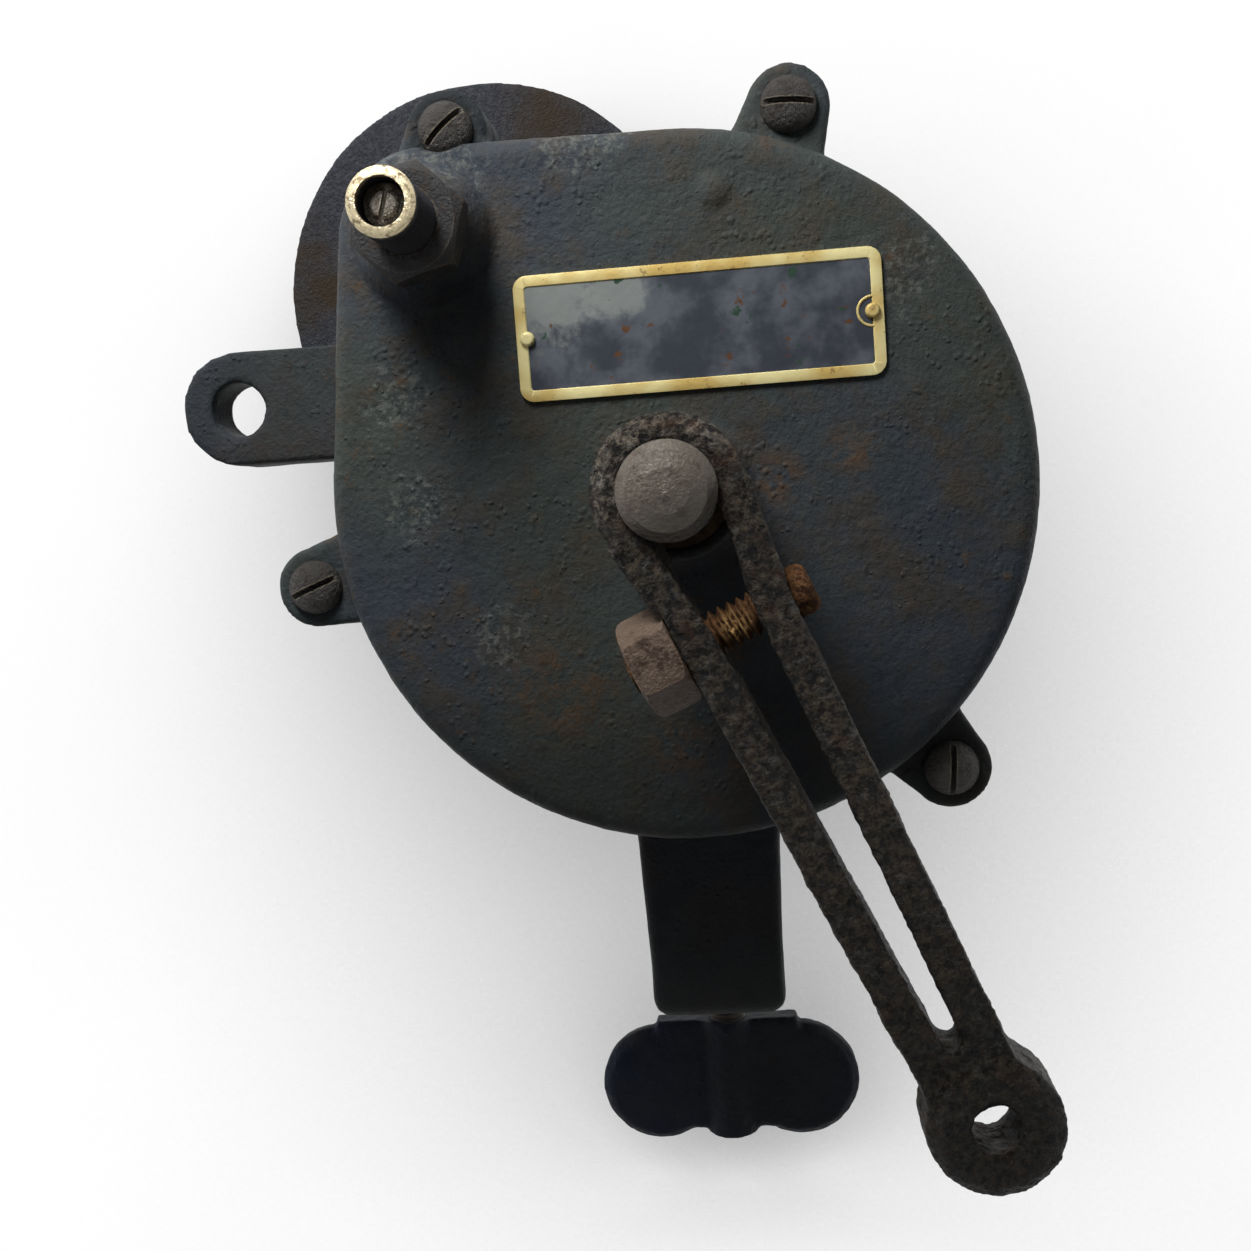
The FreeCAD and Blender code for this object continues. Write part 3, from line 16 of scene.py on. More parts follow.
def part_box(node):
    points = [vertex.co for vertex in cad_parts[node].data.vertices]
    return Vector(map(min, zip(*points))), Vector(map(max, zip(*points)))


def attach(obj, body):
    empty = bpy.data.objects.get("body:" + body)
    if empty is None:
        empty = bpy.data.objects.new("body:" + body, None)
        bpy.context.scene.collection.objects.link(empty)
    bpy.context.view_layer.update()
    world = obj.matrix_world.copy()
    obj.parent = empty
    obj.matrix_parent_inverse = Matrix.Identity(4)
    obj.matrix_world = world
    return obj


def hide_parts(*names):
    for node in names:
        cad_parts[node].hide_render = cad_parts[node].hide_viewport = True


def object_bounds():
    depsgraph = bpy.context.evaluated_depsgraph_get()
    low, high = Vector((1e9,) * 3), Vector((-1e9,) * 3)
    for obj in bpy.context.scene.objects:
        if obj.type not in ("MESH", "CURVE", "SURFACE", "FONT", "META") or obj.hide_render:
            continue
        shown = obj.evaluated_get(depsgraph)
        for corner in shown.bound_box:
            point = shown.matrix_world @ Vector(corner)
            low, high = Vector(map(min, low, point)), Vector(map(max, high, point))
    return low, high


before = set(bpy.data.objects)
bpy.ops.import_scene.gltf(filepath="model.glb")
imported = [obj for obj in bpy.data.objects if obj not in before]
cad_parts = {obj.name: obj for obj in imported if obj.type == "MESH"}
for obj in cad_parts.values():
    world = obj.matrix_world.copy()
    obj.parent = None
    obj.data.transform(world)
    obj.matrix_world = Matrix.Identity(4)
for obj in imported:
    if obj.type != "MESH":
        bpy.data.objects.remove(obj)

CAD_BOX = [list(corner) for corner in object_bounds()]
MM = 0.001
SCREW_DEPTH = 65.0
SEAT_DROP = 68.0
FACING = 0.9
MERGE = 1e-6
SPINDLE_X = -47.587
SPINDLE_Z = 54.551
PINCH_TURN = math.radians(23.5)
ACROSS = Vector((math.cos(PINCH_TURN), 0, math.sin(PINCH_TURN)))
BEHIND = Vector((0, 1, 0))
BACKWARD = Matrix.Rotation(math.radians(-90), 4, "X")

Triple = tuple[float, float, float]
Socket = bpy.types.NodeSocket
Node = bpy.types.Node
Group = bpy.types.NodeTree
Piece = bpy.types.Object
Material = bpy.types.Material

log = logging.getLogger("grinder")


def place(x: float, depth: float, z: float) -> Vector:
    """Turns a place on the gear case into metres in the model's frame.

    Args:
        x: Millimetres to the right of the crank axis.
        depth: Millimetres behind the cover's front face.
        z: Millimetres above the crank axis.

    Returns:
        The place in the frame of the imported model.
    """
    return Vector((x, depth - SCREW_DEPTH, z + SEAT_DROP)) * MM


def on_spindle(depth: float) -> Vector:
    """A place on the spindle's axis, in millimetres behind the cover's front face."""
    return place(SPINDLE_X, depth, SPINDLE_Z)


def facing(along: Vector) -> Matrix:
    """The turn that points a piece's +Z along a direction."""
    return along.to_track_quat("Z", "Y").to_matrix().to_4x4()


def colour(red: float, green: float, blue: float) -> tuple[float, float, float, float]:
    """Turns an 8 bit screen colour into the linear one that shaders take.

    Args:
        red: Red, 0 to 255.
        green: Green, 0 to 255.
        blue: Blue, 0 to 255.

    Returns:
        Linear red, green, blue and an alpha of 1.
    """

    def linear(value: float) -> float:
        """Undoes the screen's curve for one channel."""
        part = value / 255.0
        return part / 12.92 if part <= 0.04045 else ((part + 0.055) / 1.055) ** 2.4

    return (linear(red), linear(green), linear(blue), 1.0)


def add(name: str, data: bpy.types.ID) -> Piece:
    """Adds an object with the given data to the scene."""
    made = bpy.data.objects.new(name, data)
    bpy.context.collection.objects.link(made)
    return made


class Body(Enum):
    """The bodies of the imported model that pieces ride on."""

    CASE = "case"
    CRANK = "crank"
    SPINDLE = "spindle"
    SCREW = "screw"


class Slot(Enum):
    """The material slots of the record."""

    PAINT = "case_paint"
    IRON = "crank_iron"
    BARE = "bare_steel"
    DARK = "dark_steel"
    RUST = "rusty_steel"
    BRASS = "plate_brass"
    GRIT = "wheel_grit"


# Node trees


@dataclass(frozen=True)
class Spot:
    """A spot at one place, for a stain, wear or a patch of painted shade or highlight: its middle in millimetres from
    the crank axis, and its radius.
    """

    x: float
    z: float
    reach: float
    depth: float = 0.0


class Tree:
    """A node tree with short calls for the nodes that the finishes use."""

    def __init__(self, tree: Group) -> None:
        """Keeps the tree that the calls add to."""
        self.tree = tree

    def node(self, kind: str, **values: object) -> Node:
        """Adds a node and sets its properties.

        Args:
            kind: The node's type, without the ShaderNode prefix.
            **values: Properties of the node.

        Returns:
            The new node.
        """
        made = self.tree.nodes.new(f"ShaderNode{kind}")
        for name, value in values.items():
            setattr(made, name, value)
        return made

    def put(self, socket: Socket, value: object) -> None:
        """Links a socket to another socket, or sets it to a plain value."""
        if isinstance(value, Socket):
            self.tree.links.new(value, socket)
        else:
            socket.default_value = value

    def out(self, kind: str, inputs: dict[str | int, object], result: str | int, **values: object) -> Socket:
        """Adds a node, fills its inputs and gives one of its outputs.

        Args:
            kind: The node's type, without the ShaderNode prefix.
            inputs: Its inputs, by name or number.
            result: The output, by name or number.
            **values: Properties of the node.

        Returns:
            The output.
        """
        made = self.node(kind, **values)
        for name, value in inputs.items():
            self.put(made.inputs[name], value)
        return made.outputs[result]

    def noise(self, at: object, scale: float, detail: float = 3.0, rough: float = 0.55) -> Socket:
        """Adds a noise texture.

        Args:
            at: The socket with the place.
            scale: Lumps to the metre.
            detail: Octaves.
            rough: Weight of each finer octave.

        Returns:
            The noise, about 0.3 to 0.7.
        """
        return self.out("TexNoise", {"Vector": at, "Scale": scale, "Detail": detail, "Roughness": rough}, "Fac")

    def cells(self, at: object, scale: float, smooth: float = 0.4) -> Socket:
        """Adds a cell texture and returns the distance to the nearest cell's centre.

        Args:
            at: The socket with the place.
            scale: Cells to the metre.
            smooth: How far neighbours melt together.

        Returns:
            The distance, 0 at a centre.
        """
        inputs = {"Vector": at, "Scale": scale, "Smoothness": smooth}
        return self.out("TexVoronoi", inputs, "Distance", feature="SMOOTH_F1")

    def step(self, value: object, low: float, high: float) -> Socket:
        """Adds a smooth step from 0 at low to 1 at high.

        Args:
            value: The socket to map.
            low: Where the step starts.
            high: Where the step ends.

        Returns:
            The mask, 0 to 1.
        """
        inputs = {"Value": value, "From Min": low, "From Max": high}
        return self.out("MapRange", inputs, "Result", interpolation_type="SMOOTHSTEP")

    def sum(self, kind: str, *values: object) -> Socket:
        """Adds a math node.

        Args:
            kind: The operation, such as MULTIPLY.
            *values: Its values.

        Returns:
            The result.
        """
        return self.out("Math", dict(enumerate(values)), 0, operation=kind)

    def times(self, first: object, second: object) -> Socket:
        """Multiplies two values."""
        return self.sum("MULTIPLY", first, second)

    def most(self, first: object, second: object) -> Socket:
        """Takes the larger of two values."""
        return self.sum("MAXIMUM", first, second)

    def minus(self, first: object, second: object) -> Socket:
        """Subtracts the second value from the first."""
        return self.sum("SUBTRACT", first, second)

    def blend(self, mask: object, under: object, over: object) -> Socket:
        """Mixes two colours by a mask.

        Args:
            mask: 0 shows the first colour and 1 the second.
            under: The first colour, a socket or 8 bit red, green and blue.
            over: The second colour, likewise.

        Returns:
            The mixed colour.
        """
        under, over = (colour(*tint) if isinstance(tint, tuple) else tint for tint in (under, over))
        return self.out("Mix", {0: mask, 6: under, 7: over}, 2, data_type="RGBA")

    def level(self, mask: object, low: float, high: float) -> Socket:
        """Maps a mask of 0 to 1 onto low to high.

        Args:
            mask: The mask.
            low: The value at 0.
            high: The value at 1.

        Returns:
            The mapped value.
        """
        return self.out("MapRange", {"Value": mask, "To Min": low, "To Max": high}, "Result")

    def dim(self, tint: object, amount: object) -> Socket:
        """Scales a colour.

        Args:
            tint: The colour.
            amount: What it is multiplied by.

        Returns:
            The scaled colour.
        """
        return self.out("VectorMath", {0: tint, "Scale": amount}, 0, operation="SCALE")

    def along(self, at: object, axis: str) -> Socket:
        """How far a place lies along an axis, in metres."""
        return self.out("SeparateXYZ", {0: at}, axis)

    def either(self, mask: object, under: Socket, over: Socket) -> Socket:
        """Mixes two shaders, or shows the first where the mask is 0 and the second where it is 1."""
        return self.out("MixShader", {0: mask, 1: under, 2: over}, 0)

    def bump(self, height: object, distance: float) -> Socket:
        """Adds a bump.

        Args:
            height: The height, 0 to 1.
            distance: What a height of 1 stands for, in metres.

        Returns:
            The bent normal.
        """
        return self.out("Bump", {"Strength": 1.0, "Distance": distance, "Height": height}, "Normal")

    def near(self, at: object, spot: Spot, ragged: object, fray: float) -> Socket:
        """Adds a ragged spot round a place.

        Args:
            at: The socket with the place.
            spot: The spot.
            ragged: A noise that frays the spot's edge.
            fray: How far the noise frays it, in radii.

        Returns:
            The mask, 1 in the middle.
        """
        middle = place(spot.x, spot.depth, spot.z)
        away = self.out("VectorMath", {0: at, 1: middle}, "Value", operation="DISTANCE")
        radii = self.sum("DIVIDE", away, spot.reach * MM)
        frayed = self.sum("MULTIPLY_ADD", self.minus(ragged, 0.5), fray, radii)
        return self.minus(1.0, self.step(frayed, 0.55, 1.15))

    def stains(
        self, mask: object, at: object, spots: tuple[Spot, ...], ragged: object, fray: float, share: object = 1.0
    ) -> Socket:
        """Adds ragged spots to a mask.

        Args:
            mask: The mask so far.
            at: The socket with the place.
            spots: The spots.
            ragged: A noise that frays their edges.
            fray: How far the noise frays them, in radii.
            share: How much of each spot counts, place by place.

        Returns:
            The mask with the spots.
        """
        for spot in spots:
            mask = self.most(mask, self.times(self.near(at, spot, ragged, fray), share))
        return mask

    def shade_towards_foot(self, tint: object, at: object, fade: Triple) -> Socket:
        """Darkens a colour towards the object's foot, as painted shade for light that falls off low down.

        Args:
            tint: The colour.
            at: The socket with the place.
            fade: Heights in millimetres from the crank axis, where the painted shade is deepest and where it ends,
            and the darkest share.

        Returns:
            The darkened colour.
        """
        low, high, least = fade
        # Painted shade: 1 where the colour is unshaded, falling to 0 towards the foot.
        clean = self.step(self.along(at, "Z"), place(0, 0, low).z, place(0, 0, high).z)
        return self.dim(tint, self.level(clean, least, 1.0))


class Effects:
    """The shader groups that more than one finish uses, each made once."""

    @classmethod
    def group(cls, name: str, inputs: dict[str, str], outputs: dict[str, str]) -> tuple[Tree, object, object]:
        """Starts a group with named sockets.

        Args:
            name: The group's name.
            inputs: Its input names and socket types.
            outputs: Its output names and socket types.

        Returns:
            The tree and its input and output nodes.
        """
        made = bpy.data.node_groups.new(name, "ShaderNodeTree")
        for label, kind in inputs.items():
            made.interface.new_socket(label, in_out="INPUT", socket_type=kind)
        for label, kind in outputs.items():
            made.interface.new_socket(label, in_out="OUTPUT", socket_type=kind)
        return Tree(made), made.nodes.new("NodeGroupInput"), made.nodes.new("NodeGroupOutput")

    @classmethod
    def cast_grain(cls) -> Group:
        """The pimples, sand grain and soft dents of a casting."""
        if known := bpy.data.node_groups.get("cast_grain"):
            return known
        number = "NodeSocketFloat"
        tree, given, out = cls.group(
            "cast_grain",
            {"Vector": "NodeSocketVector", "Pimples": number, "Sand": number, "Dents": number},
            {"Height": number},
        )
        at = given.outputs["Vector"]
        size = tree.level(tree.step(tree.noise(at, 300.0, 1.0), 0.42, 0.66), 0.0, 0.62)
        beads = tree.minus(1.0, tree.step(tree.cells(at, 640.0, 0.6), 0.05, size))
        patches = tree.step(tree.noise(at, 48.0, 3.0), 0.38, 0.6)
        some = tree.times(beads, patches)
        sand = tree.noise(at, 950.0, 5.0, 0.68)
        dents = tree.noise(at, 120.0, 3.0, 0.5)
        height = tree.times(some, given.outputs["Pimples"])
        height = tree.sum("ADD", height, tree.times(sand, given.outputs["Sand"]))
        height = tree.sum("ADD", height, tree.times(dents, given.outputs["Dents"]))
        tree.put(out.inputs["Height"], height)
        return tree.tree

    @classmethod
    def worn_edges(cls) -> Group:
        """A ragged mask along the sharp edges."""
        if known := bpy.data.node_groups.get("worn_edges"):
            return known
        number = "NodeSocketFloat"
        tree, given, out = cls.group(
            "worn_edges",
            {"Vector": "NodeSocketVector", "Width": number, "Scale": number},
            {"Mask": number},
        )
        soft = tree.node("Bevel", samples=4)
        tree.put(soft.inputs["Radius"], given.outputs["Width"])
        true = tree.node("NewGeometry")
        along = tree.node("VectorMath", operation="DOT_PRODUCT")
        tree.put(along.inputs[0], soft.outputs["Normal"])
        tree.put(along.inputs[1], true.outputs["Normal"])
        bent = tree.minus(1.0, along.outputs["Value"])
        ragged = tree.noise(given.outputs["Vector"], given.outputs["Scale"], 3.0)
        mask = tree.step(tree.sum("ADD", tree.times(bent, 6.0), tree.minus(ragged, 0.75)), 0.05, 0.45)
        tree.put(out.inputs["Mask"], mask)
        return tree.tree

    @classmethod
    def use(cls, tree: Tree, group: Group, **values: object) -> Node:
        """Places a group in a material.

        Args:
            tree: The material's tree.
            group: The group.
            **values: Its inputs, by name.

        Returns:
            The group's node.
        """
        made = tree.node("Group", node_tree=group)
        for name, value in values.items():
            tree.put(made.inputs[name], value)
        return made


class Finish:
    """A finish that knows how to make its material."""

    name: str = "finish"
    gloss: float = 0.08

    def start(self) -> tuple[Material, Tree, Socket]:
        """Starts the material.

        Returns:
            The material, its tree and the object's own coordinates.
        """
        made = bpy.data.materials.new(f"look_{self.name}")
        made.use_nodes = True
        tree = Tree(made.node_tree)
        shader = made.node_tree.nodes["Principled BSDF"]
        shader.inputs["Specular IOR Level"].default_value = self.gloss
        return made, tree, tree.node("TexCoord").outputs["Object"]

    def coat(self, tree: Tree, tint: object, rough: object, normal: object, metal: object = 0.0) -> None:
        """Gives the material's shader what it shows.

        Args:
            tree: The material's tree.
            tint: Its colour.
            rough: Its roughness.
            normal: Its bent normal.
            metal: How much of it is bare metal.
        """
        shader = tree.tree.nodes["Principled BSDF"]
        for name, value in (("Base Color", tint), ("Roughness", rough), ("Normal", normal), ("Metallic", metal)):
            tree.put(shader.inputs[name], value)

    def material(self) -> Material:
        """The material, made on first use."""
        known = bpy.data.materials.get(f"look_{self.name}")
        return known or self.build()

    def build(self) -> Material:
        """Makes the material."""
        raise NotImplementedError


@dataclass(frozen=True)
class CastPaint(Finish):
    """Old painted cast iron, greenish black, with rust coming through, darker towards the bottom as painted shade, and
    spots of painted shade.
    """

    name: str = "cast_paint"
    green: Triple = (66, 72, 69)
    blue: Triple = (60, 66, 74)
    brown: Triple = (74, 66, 54)
    rust: Triple = (100, 74, 50)
    pale: Triple = (108, 110, 104)
    stains: tuple[Spot, ...] = ()
    scuffs: tuple[Spot, ...] = ()
    # Spots darkened as painted shade.
    painted_shade: tuple[Spot, ...] = ()
    rust_share: float = 0.6
    # Darker towards the bottom, as painted shade.
    fade: Triple = (-68.0, -22.0, 0.42)

    def build(self) -> Material:
        """Makes the material."""
        made, tree, at = self.start()
        drift = tree.step(tree.noise(at, 15.0, 3.0), 0.38, 0.62)
        mottle = tree.step(tree.noise(at, 60.0, 5.0, 0.7), 0.42, 0.68)
        speck = tree.noise(at, 620.0, 4.0, 0.75)
        base = tree.blend(drift, self.green, self.blue)
        base = tree.blend(tree.times(mottle, 0.7), base, self.brown)
        ragged = tree.noise(at, 240.0, 5.0, 0.75)
        rust = tree.step(ragged, self.rust_share, self.rust_share + 0.12)
        rust = tree.times(rust, tree.step(tree.noise(at, 26.0, 2.0), 0.42, 0.6))
        rust = tree.stains(rust, at, self.stains, ragged, 2.2, tree.step(ragged, 0.4, 0.66))
        base = tree.blend(tree.times(rust, 0.62), base, self.rust)
        scuff = tree.times(tree.step(speck, 0.6, 0.72), 0.22)
        scuff = tree.stains(scuff, at, self.scuffs, ragged, 2.6, tree.step(speck, 0.47, 0.62))
        base = tree.blend(tree.times(scuff, 0.7), base, self.pale)
        base = tree.dim(base, tree.level(tree.step(speck, 0.3, 0.5), 0.72, 1.0))
        # Painted shade: darker towards the bottom.
        base = tree.shade_towards_foot(base, at, self.fade)
        # Painted shade: each spot darkens the colour down to 0.4.
        for spot in self.painted_shade:
            base = tree.dim(base, tree.level(tree.near(at, spot, ragged, 1.2), 1.0, 0.4))
        grain = Effects.use(tree, Effects.cast_grain(), Vector=at, Pimples=0.5, Sand=0.75, Dents=1.0)
        rough = tree.level(tree.noise(at, 110.0, 4.0, 0.6), 0.3, 0.72)
        self.coat(tree, base, rough, tree.bump(grain.outputs["Height"], 0.00055))
        return made


@dataclass(frozen=True)
class RoughIron(Finish):
    """Bare pitted cast iron gone brown, with bright flecks where it rubbed, gathered on top of the hub as a painted
    highlight, and darker towards the bottom as painted shade.
    """

    name: str = "rough_iron"
    gloss: float = 0.14
    dark: Triple = (28, 27, 27)
    brown: Triple = (90, 80, 68)
    grey: Triple = (94, 94, 92)
    rust: Triple = (100, 70, 48)
    bright: Triple = (182, 172, 156)
    rubbed_and_highlit: tuple[Spot, ...] = ()
    rusted: tuple[Spot, ...] = ()
    # Darker towards the bottom, as painted shade.
    fade: Triple = (-112.0, -40.0, 0.5)

    def build(self) -> Material:
        """Makes the material."""
        made, tree, at = self.start()
        pits = tree.noise(at, 640.0, 5.0, 0.72)
        wide = tree.noise(at, 210.0, 4.0, 0.6)
        ragged = tree.noise(at, 420.0, 5.0, 0.7)
        hue = tree.blend(tree.step(ragged, 0.48, 0.62), self.brown, self.grey)
        base = tree.blend(tree.step(pits, 0.4, 0.62), self.dark, hue)
        rust = tree.times(tree.step(wide, 0.55, 0.7), 0.6)
        rust = tree.stains(rust, at, self.rusted, ragged, 1.6)
        base = tree.blend(tree.times(rust, 0.8), base, self.rust)
        # Bright flecks: wear, with those on top of the hub ring partly a painted highlight.
        flecks_and_highlight = tree.times(tree.step(pits, 0.62, 0.72), 0.3)
        flecks_and_highlight = tree.stains(flecks_and_highlight, at, self.rubbed_and_highlit, ragged, 2.2, tree.step(pits, 0.4, 0.9))
        edge = Effects.use(tree, Effects.worn_edges(), Vector=at, Width=0.0007, Scale=500.0)
        flecks_and_highlight = tree.most(flecks_and_highlight, tree.times(edge.outputs["Mask"], 0.22))
        base = tree.blend(tree.times(flecks_and_highlight, 0.8), base, self.bright)
        # Painted shade: darker towards the bottom.
        base = tree.shade_towards_foot(base, at, self.fade)
        rough = tree.level(tree.step(pits, 0.35, 0.65), 0.28, 0.5)
        relief = tree.sum("ADD", pits, tree.times(wide, 0.8))
        self.coat(tree, base, rough, tree.bump(relief, 0.0036), tree.times(flecks_and_highlight, 0.6))
        return made


@dataclass(frozen=True)
class WornSteel(Finish):
    """Bare steel with a dull skin, rust spots and bright worn edges."""

    name: str = "worn_steel"
    gloss: float = 0.16
    skin: Triple = (104, 96, 88)
    stain: Triple = (70, 58, 48)
    bright: Triple = (170, 160, 146)
    metal: float = 0.4
    rough: tuple[float, float] = (0.34, 0.56)
    edge_width: float = 0.0006
    grain: float = 0.00048

    def build(self) -> Material:
        """Makes the material."""
        made, tree, at = self.start()
        patch = tree.noise(at, 320.0, 5.0, 0.7)
        base = tree.blend(tree.step(patch, 0.5, 0.66), self.skin, self.stain)
        edge = Effects.use(tree, Effects.worn_edges(), Vector=at, Width=self.edge_width, Scale=700.0)
        base = tree.blend(tree.times(edge.outputs["Mask"], 0.7), base, self.bright)
        rough = tree.level(tree.step(patch, 0.35, 0.65), *self.rough)
        self.coat(tree, base, rough, tree.bump(tree.noise(at, 1400.0, 4.0, 0.65), self.grain), self.metal)
        return made


@dataclass(frozen=True)
class RimWorn(Finish):
    """The spindle sleeve: dark along its thread, bright brassy steel at its rim."""

    name: str = "sleeve_steel"
    dark: Triple = (50, 50, 53)
    bright: Triple = (206, 192, 158)
    brown: Triple = (116, 100, 76)
    rim: float = -35.3

    def build(self) -> Material:
        """Makes the material."""
        made, tree, at = self.start()
        rim = place(0, self.rim, 0).y
        ragged = tree.noise(at, 700.0, 4.0, 0.7)
        depth = tree.sum("ADD", tree.along(at, "Y"), tree.times(tree.minus(ragged, 0.5), 0.0032))
        worn = tree.minus(1.0, tree.step(depth, rim + 0.0004, rim + 0.0019))
        bright = tree.blend(tree.step(ragged, 0.5, 0.66), self.bright, self.brown)
        normal = tree.bump(tree.noise(at, 1500.0, 3.0, 0.65), 0.0003)
        tint = tree.blend(worn, self.dark, bright)
        self.coat(tree, tint, tree.level(worn, 0.55, 0.3), normal, tree.level(worn, 0.1, 0.6))
        return made


@dataclass(frozen=True)
class OrangeRust(Finish):
    """Heavy orange rust with bright metal on the crests and painted golden glints on the thread and head."""

    name: str = "orange_rust"
    deep: Triple = (62, 42, 30)
    orange: Triple = (130, 92, 62)
    bright: Triple = (244, 200, 130)
    # Painted highlight: golden glints in the middle of the thread and on the bolt's head.
    painted_glints: tuple[Spot, ...] = (Spot(10.2, -23.4, 3.4, -45.5), Spot(22, -20.5, 2.4, -44))

    def build(self) -> Material:
        """Makes the material."""
        made, tree, at = self.start()
        crumbs = tree.noise(at, 900.0, 5.0, 0.75)
        base = tree.blend(tree.step(crumbs, 0.38, 0.6), self.deep, self.orange)
        edge = Effects.use(tree, Effects.worn_edges(), Vector=at, Width=0.0003, Scale=900.0)
        worn = tree.most(edge.outputs["Mask"], tree.step(crumbs, 0.52, 0.64))
        # Worn edges and the painted glints, blended towards the bright colour.
        wear_and_painted_glint = tree.stains(tree.times(edge.outputs["Mask"], 0.12), at, self.painted_glints, crumbs, 1.6, worn)
        base = tree.blend(tree.times(wear_and_painted_glint, 0.8), base, self.bright)
        self.coat(tree, base, tree.level(wear_and_painted_glint, 0.8, 0.35), tree.bump(crumbs, 0.0014), tree.times(wear_and_painted_glint, 0.8))
        return made


@dataclass(frozen=True)
class Brass(Finish):
    """Tarnished brass, pale and bright where it was rubbed."""

    name: str = "plate_brass"
    pale: Triple = (236, 224, 164)
    gold: Triple = (206, 176, 104)
    tarnish: Triple = (128, 98, 66)
    share: float = 0.57
    metal: float = 0.12

    def build(self) -> Material:
        """Makes the material."""
        made, tree, at = self.start()
        wide = tree.noise(at, 60.0, 3.0)
        fine = tree.noise(at, 620.0, 4.0, 0.7)
        base = tree.blend(tree.step(wide, 0.4, 0.62), self.pale, self.gold)
        dull = tree.step(tree.sum("ADD", tree.times(wide, 0.4), tree.times(fine, 0.6)), self.share, 0.66)
        base = tree.blend(tree.times(dull, 0.85), base, self.tarnish)
        metal = tree.level(dull, self.metal, 0.1)
        self.coat(tree, base, tree.level(dull, 0.36, 0.6), tree.bump(fine, 0.00012), metal)
        return made


@dataclass(frozen=True)
class Enamel(Finish):
    """The plate's sunken field: dark blue grey enamel with rust and green spots, and a pale painted glare at its upper
    left.
    """

    name: str = "plate_enamel"
    dark: Triple = (62, 66, 74)
    pale: Triple = (96, 101, 108)
    glare_tint: Triple = (142, 146, 142)
    rust: Triple = (96, 66, 46)
    green: Triple = (50, 74, 58)
    # Painted highlight: the glare at the field's upper left.
    painted_glare: tuple[Spot, ...] = (Spot(-24, 42, 11, -0.8), Spot(-10, 41, 7, -0.8))

    def build(self) -> Material:
        """Makes the material."""
        made, tree, at = self.start()
        cloud = tree.noise(at, 90.0, 4.0, 0.6)
        base = tree.blend(tree.step(cloud, 0.4, 0.66), self.dark, self.pale)
        ragged = tree.noise(at, 160.0, 5.0, 0.7)
        # Painted glare, blended over the enamel.
        for spot in self.painted_glare:
            base = tree.blend(tree.times(tree.near(at, spot, ragged, 2.0), 0.8), base, self.glare_tint)
        spots = tree.noise(at, 240.0, 4.0, 0.6)
        base = tree.blend(tree.step(spots, 0.63, 0.7), base, self.rust)
        other = tree.noise(at, 170.0, 3.0, 0.6)
        base = tree.blend(tree.step(other, 0.63, 0.68), base, self.green)
        self.coat(tree, base, tree.level(spots, 0.28, 0.5), tree.bump(tree.noise(at, 500.0, 3.0), 0.0001))
        return made


@dataclass(frozen=True)
class Grit(Finish):
    """The abrasive of the wheel: dark bonded grains with pale sparkles."""

    name: str = "wheel_grit"
    dark: Triple = (50, 52, 57)
    light: Triple = (66, 67, 72)
    grain: Triple = (92, 90, 88)
    oil: Triple = (58, 50, 42)

    def build(self) -> Material:
        """Makes the material."""
        made, tree, at = self.start()
        base = tree.blend(tree.step(tree.noise(at, 900.0, 3.0, 0.7), 0.38, 0.62), self.dark, self.light)
        base = tree.blend(tree.step(tree.noise(at, 30.0, 4.0), 0.48, 0.66), base, self.oil)
        seeds = tree.cells(at, 1500.0, 0.1)
        base = tree.blend(tree.minus(1.0, tree.step(seeds, 0.05, 0.2)), base, self.grain)
        self.coat(tree, base, 0.9, tree.bump(tree.sum("ADD", seeds, tree.noise(at, 700.0, 3.0)), 0.00025))
        return made


@dataclass(frozen=True)
class Paper(Finish):
    """Thick blotting paper, oily and frayed."""

    name: str = "blotter_paper"
    clean: Triple = (120, 62, 50)
    oily: Triple = (62, 38, 32)

    def build(self) -> Material:
        """Makes the material."""
        made, tree, at = self.start()
        base = tree.blend(tree.step(tree.noise(at, 120.0, 5.0, 0.7), 0.4, 0.62), self.clean, self.oily)
        self.coat(tree, base, 0.85, tree.bump(tree.noise(at, 2400.0, 4.0, 0.7), 0.0002))
        return made


PAINT = CastPaint(
    stains=(
        Spot(-27, -39, 15),
        Spot(-8, -32, 9),
        Spot(8, -31, 8),
        Spot(20, 1, 7),
        Spot(35, 6, 7),
        Spot(24, 68, 5),
        Spot(-4, -52, 8),
    ),
    # Painted shade under the crank's hub, in the slot below it and under the sleeve's nut; the first spot darkens the
    # upper ear.
    painted_shade=(Spot(-43, 79, 11, 6), Spot(8, -22, 12), Spot(16, -46, 9), Spot(-42, 40, 8)),
    scuffs=(Spot(-56, 22, 8), Spot(-47, 66, 12), Spot(-14, 72, 9), Spot(-38, -27, 7), Spot(46, 40, 8), Spot(-54, 0, 7)),
)
CASE_PAINT = CastPaint(
    name="case_cast_paint",
    green=(58, 62, 63),
    blue=(54, 59, 68),
    brown=(60, 55, 50),
    rust_share=0.62,
    # Darker towards the bottom, as painted shade.
    fade=(-84.0, -50.0, 0.35),
)
WING_PAINT = CastPaint(
    name="wing_cast_paint",
    green=(46, 52, 58),
    blue=(40, 47, 64),
    brown=(48, 46, 46),
    rust_share=0.64,
    # Darker towards the bottom, as painted shade.
    fade=(-160.0, -100.0, 0.6),
)
IRON = RoughIron(
    # Bright flecks on top of the hub ring: wear and painted highlight.
    rubbed_and_highlit=(Spot(-6, 11, 8, -46), Spot(7, 11, 5, -46), Spot(-12, 1, 6, -46)),
    rusted=(Spot(41, -96, 3.2, -46), Spot(49, -116, 4.5, -40)),
)
DOME = WornSteel(
    name="dome_steel",
    gloss=0.3,
    skin=(98, 90, 80),
    stain=(74, 65, 56),
    bright=(116, 106, 94),
    metal=0.1,
    rough=(0.2, 0.34),
    grain=0.00032,
)
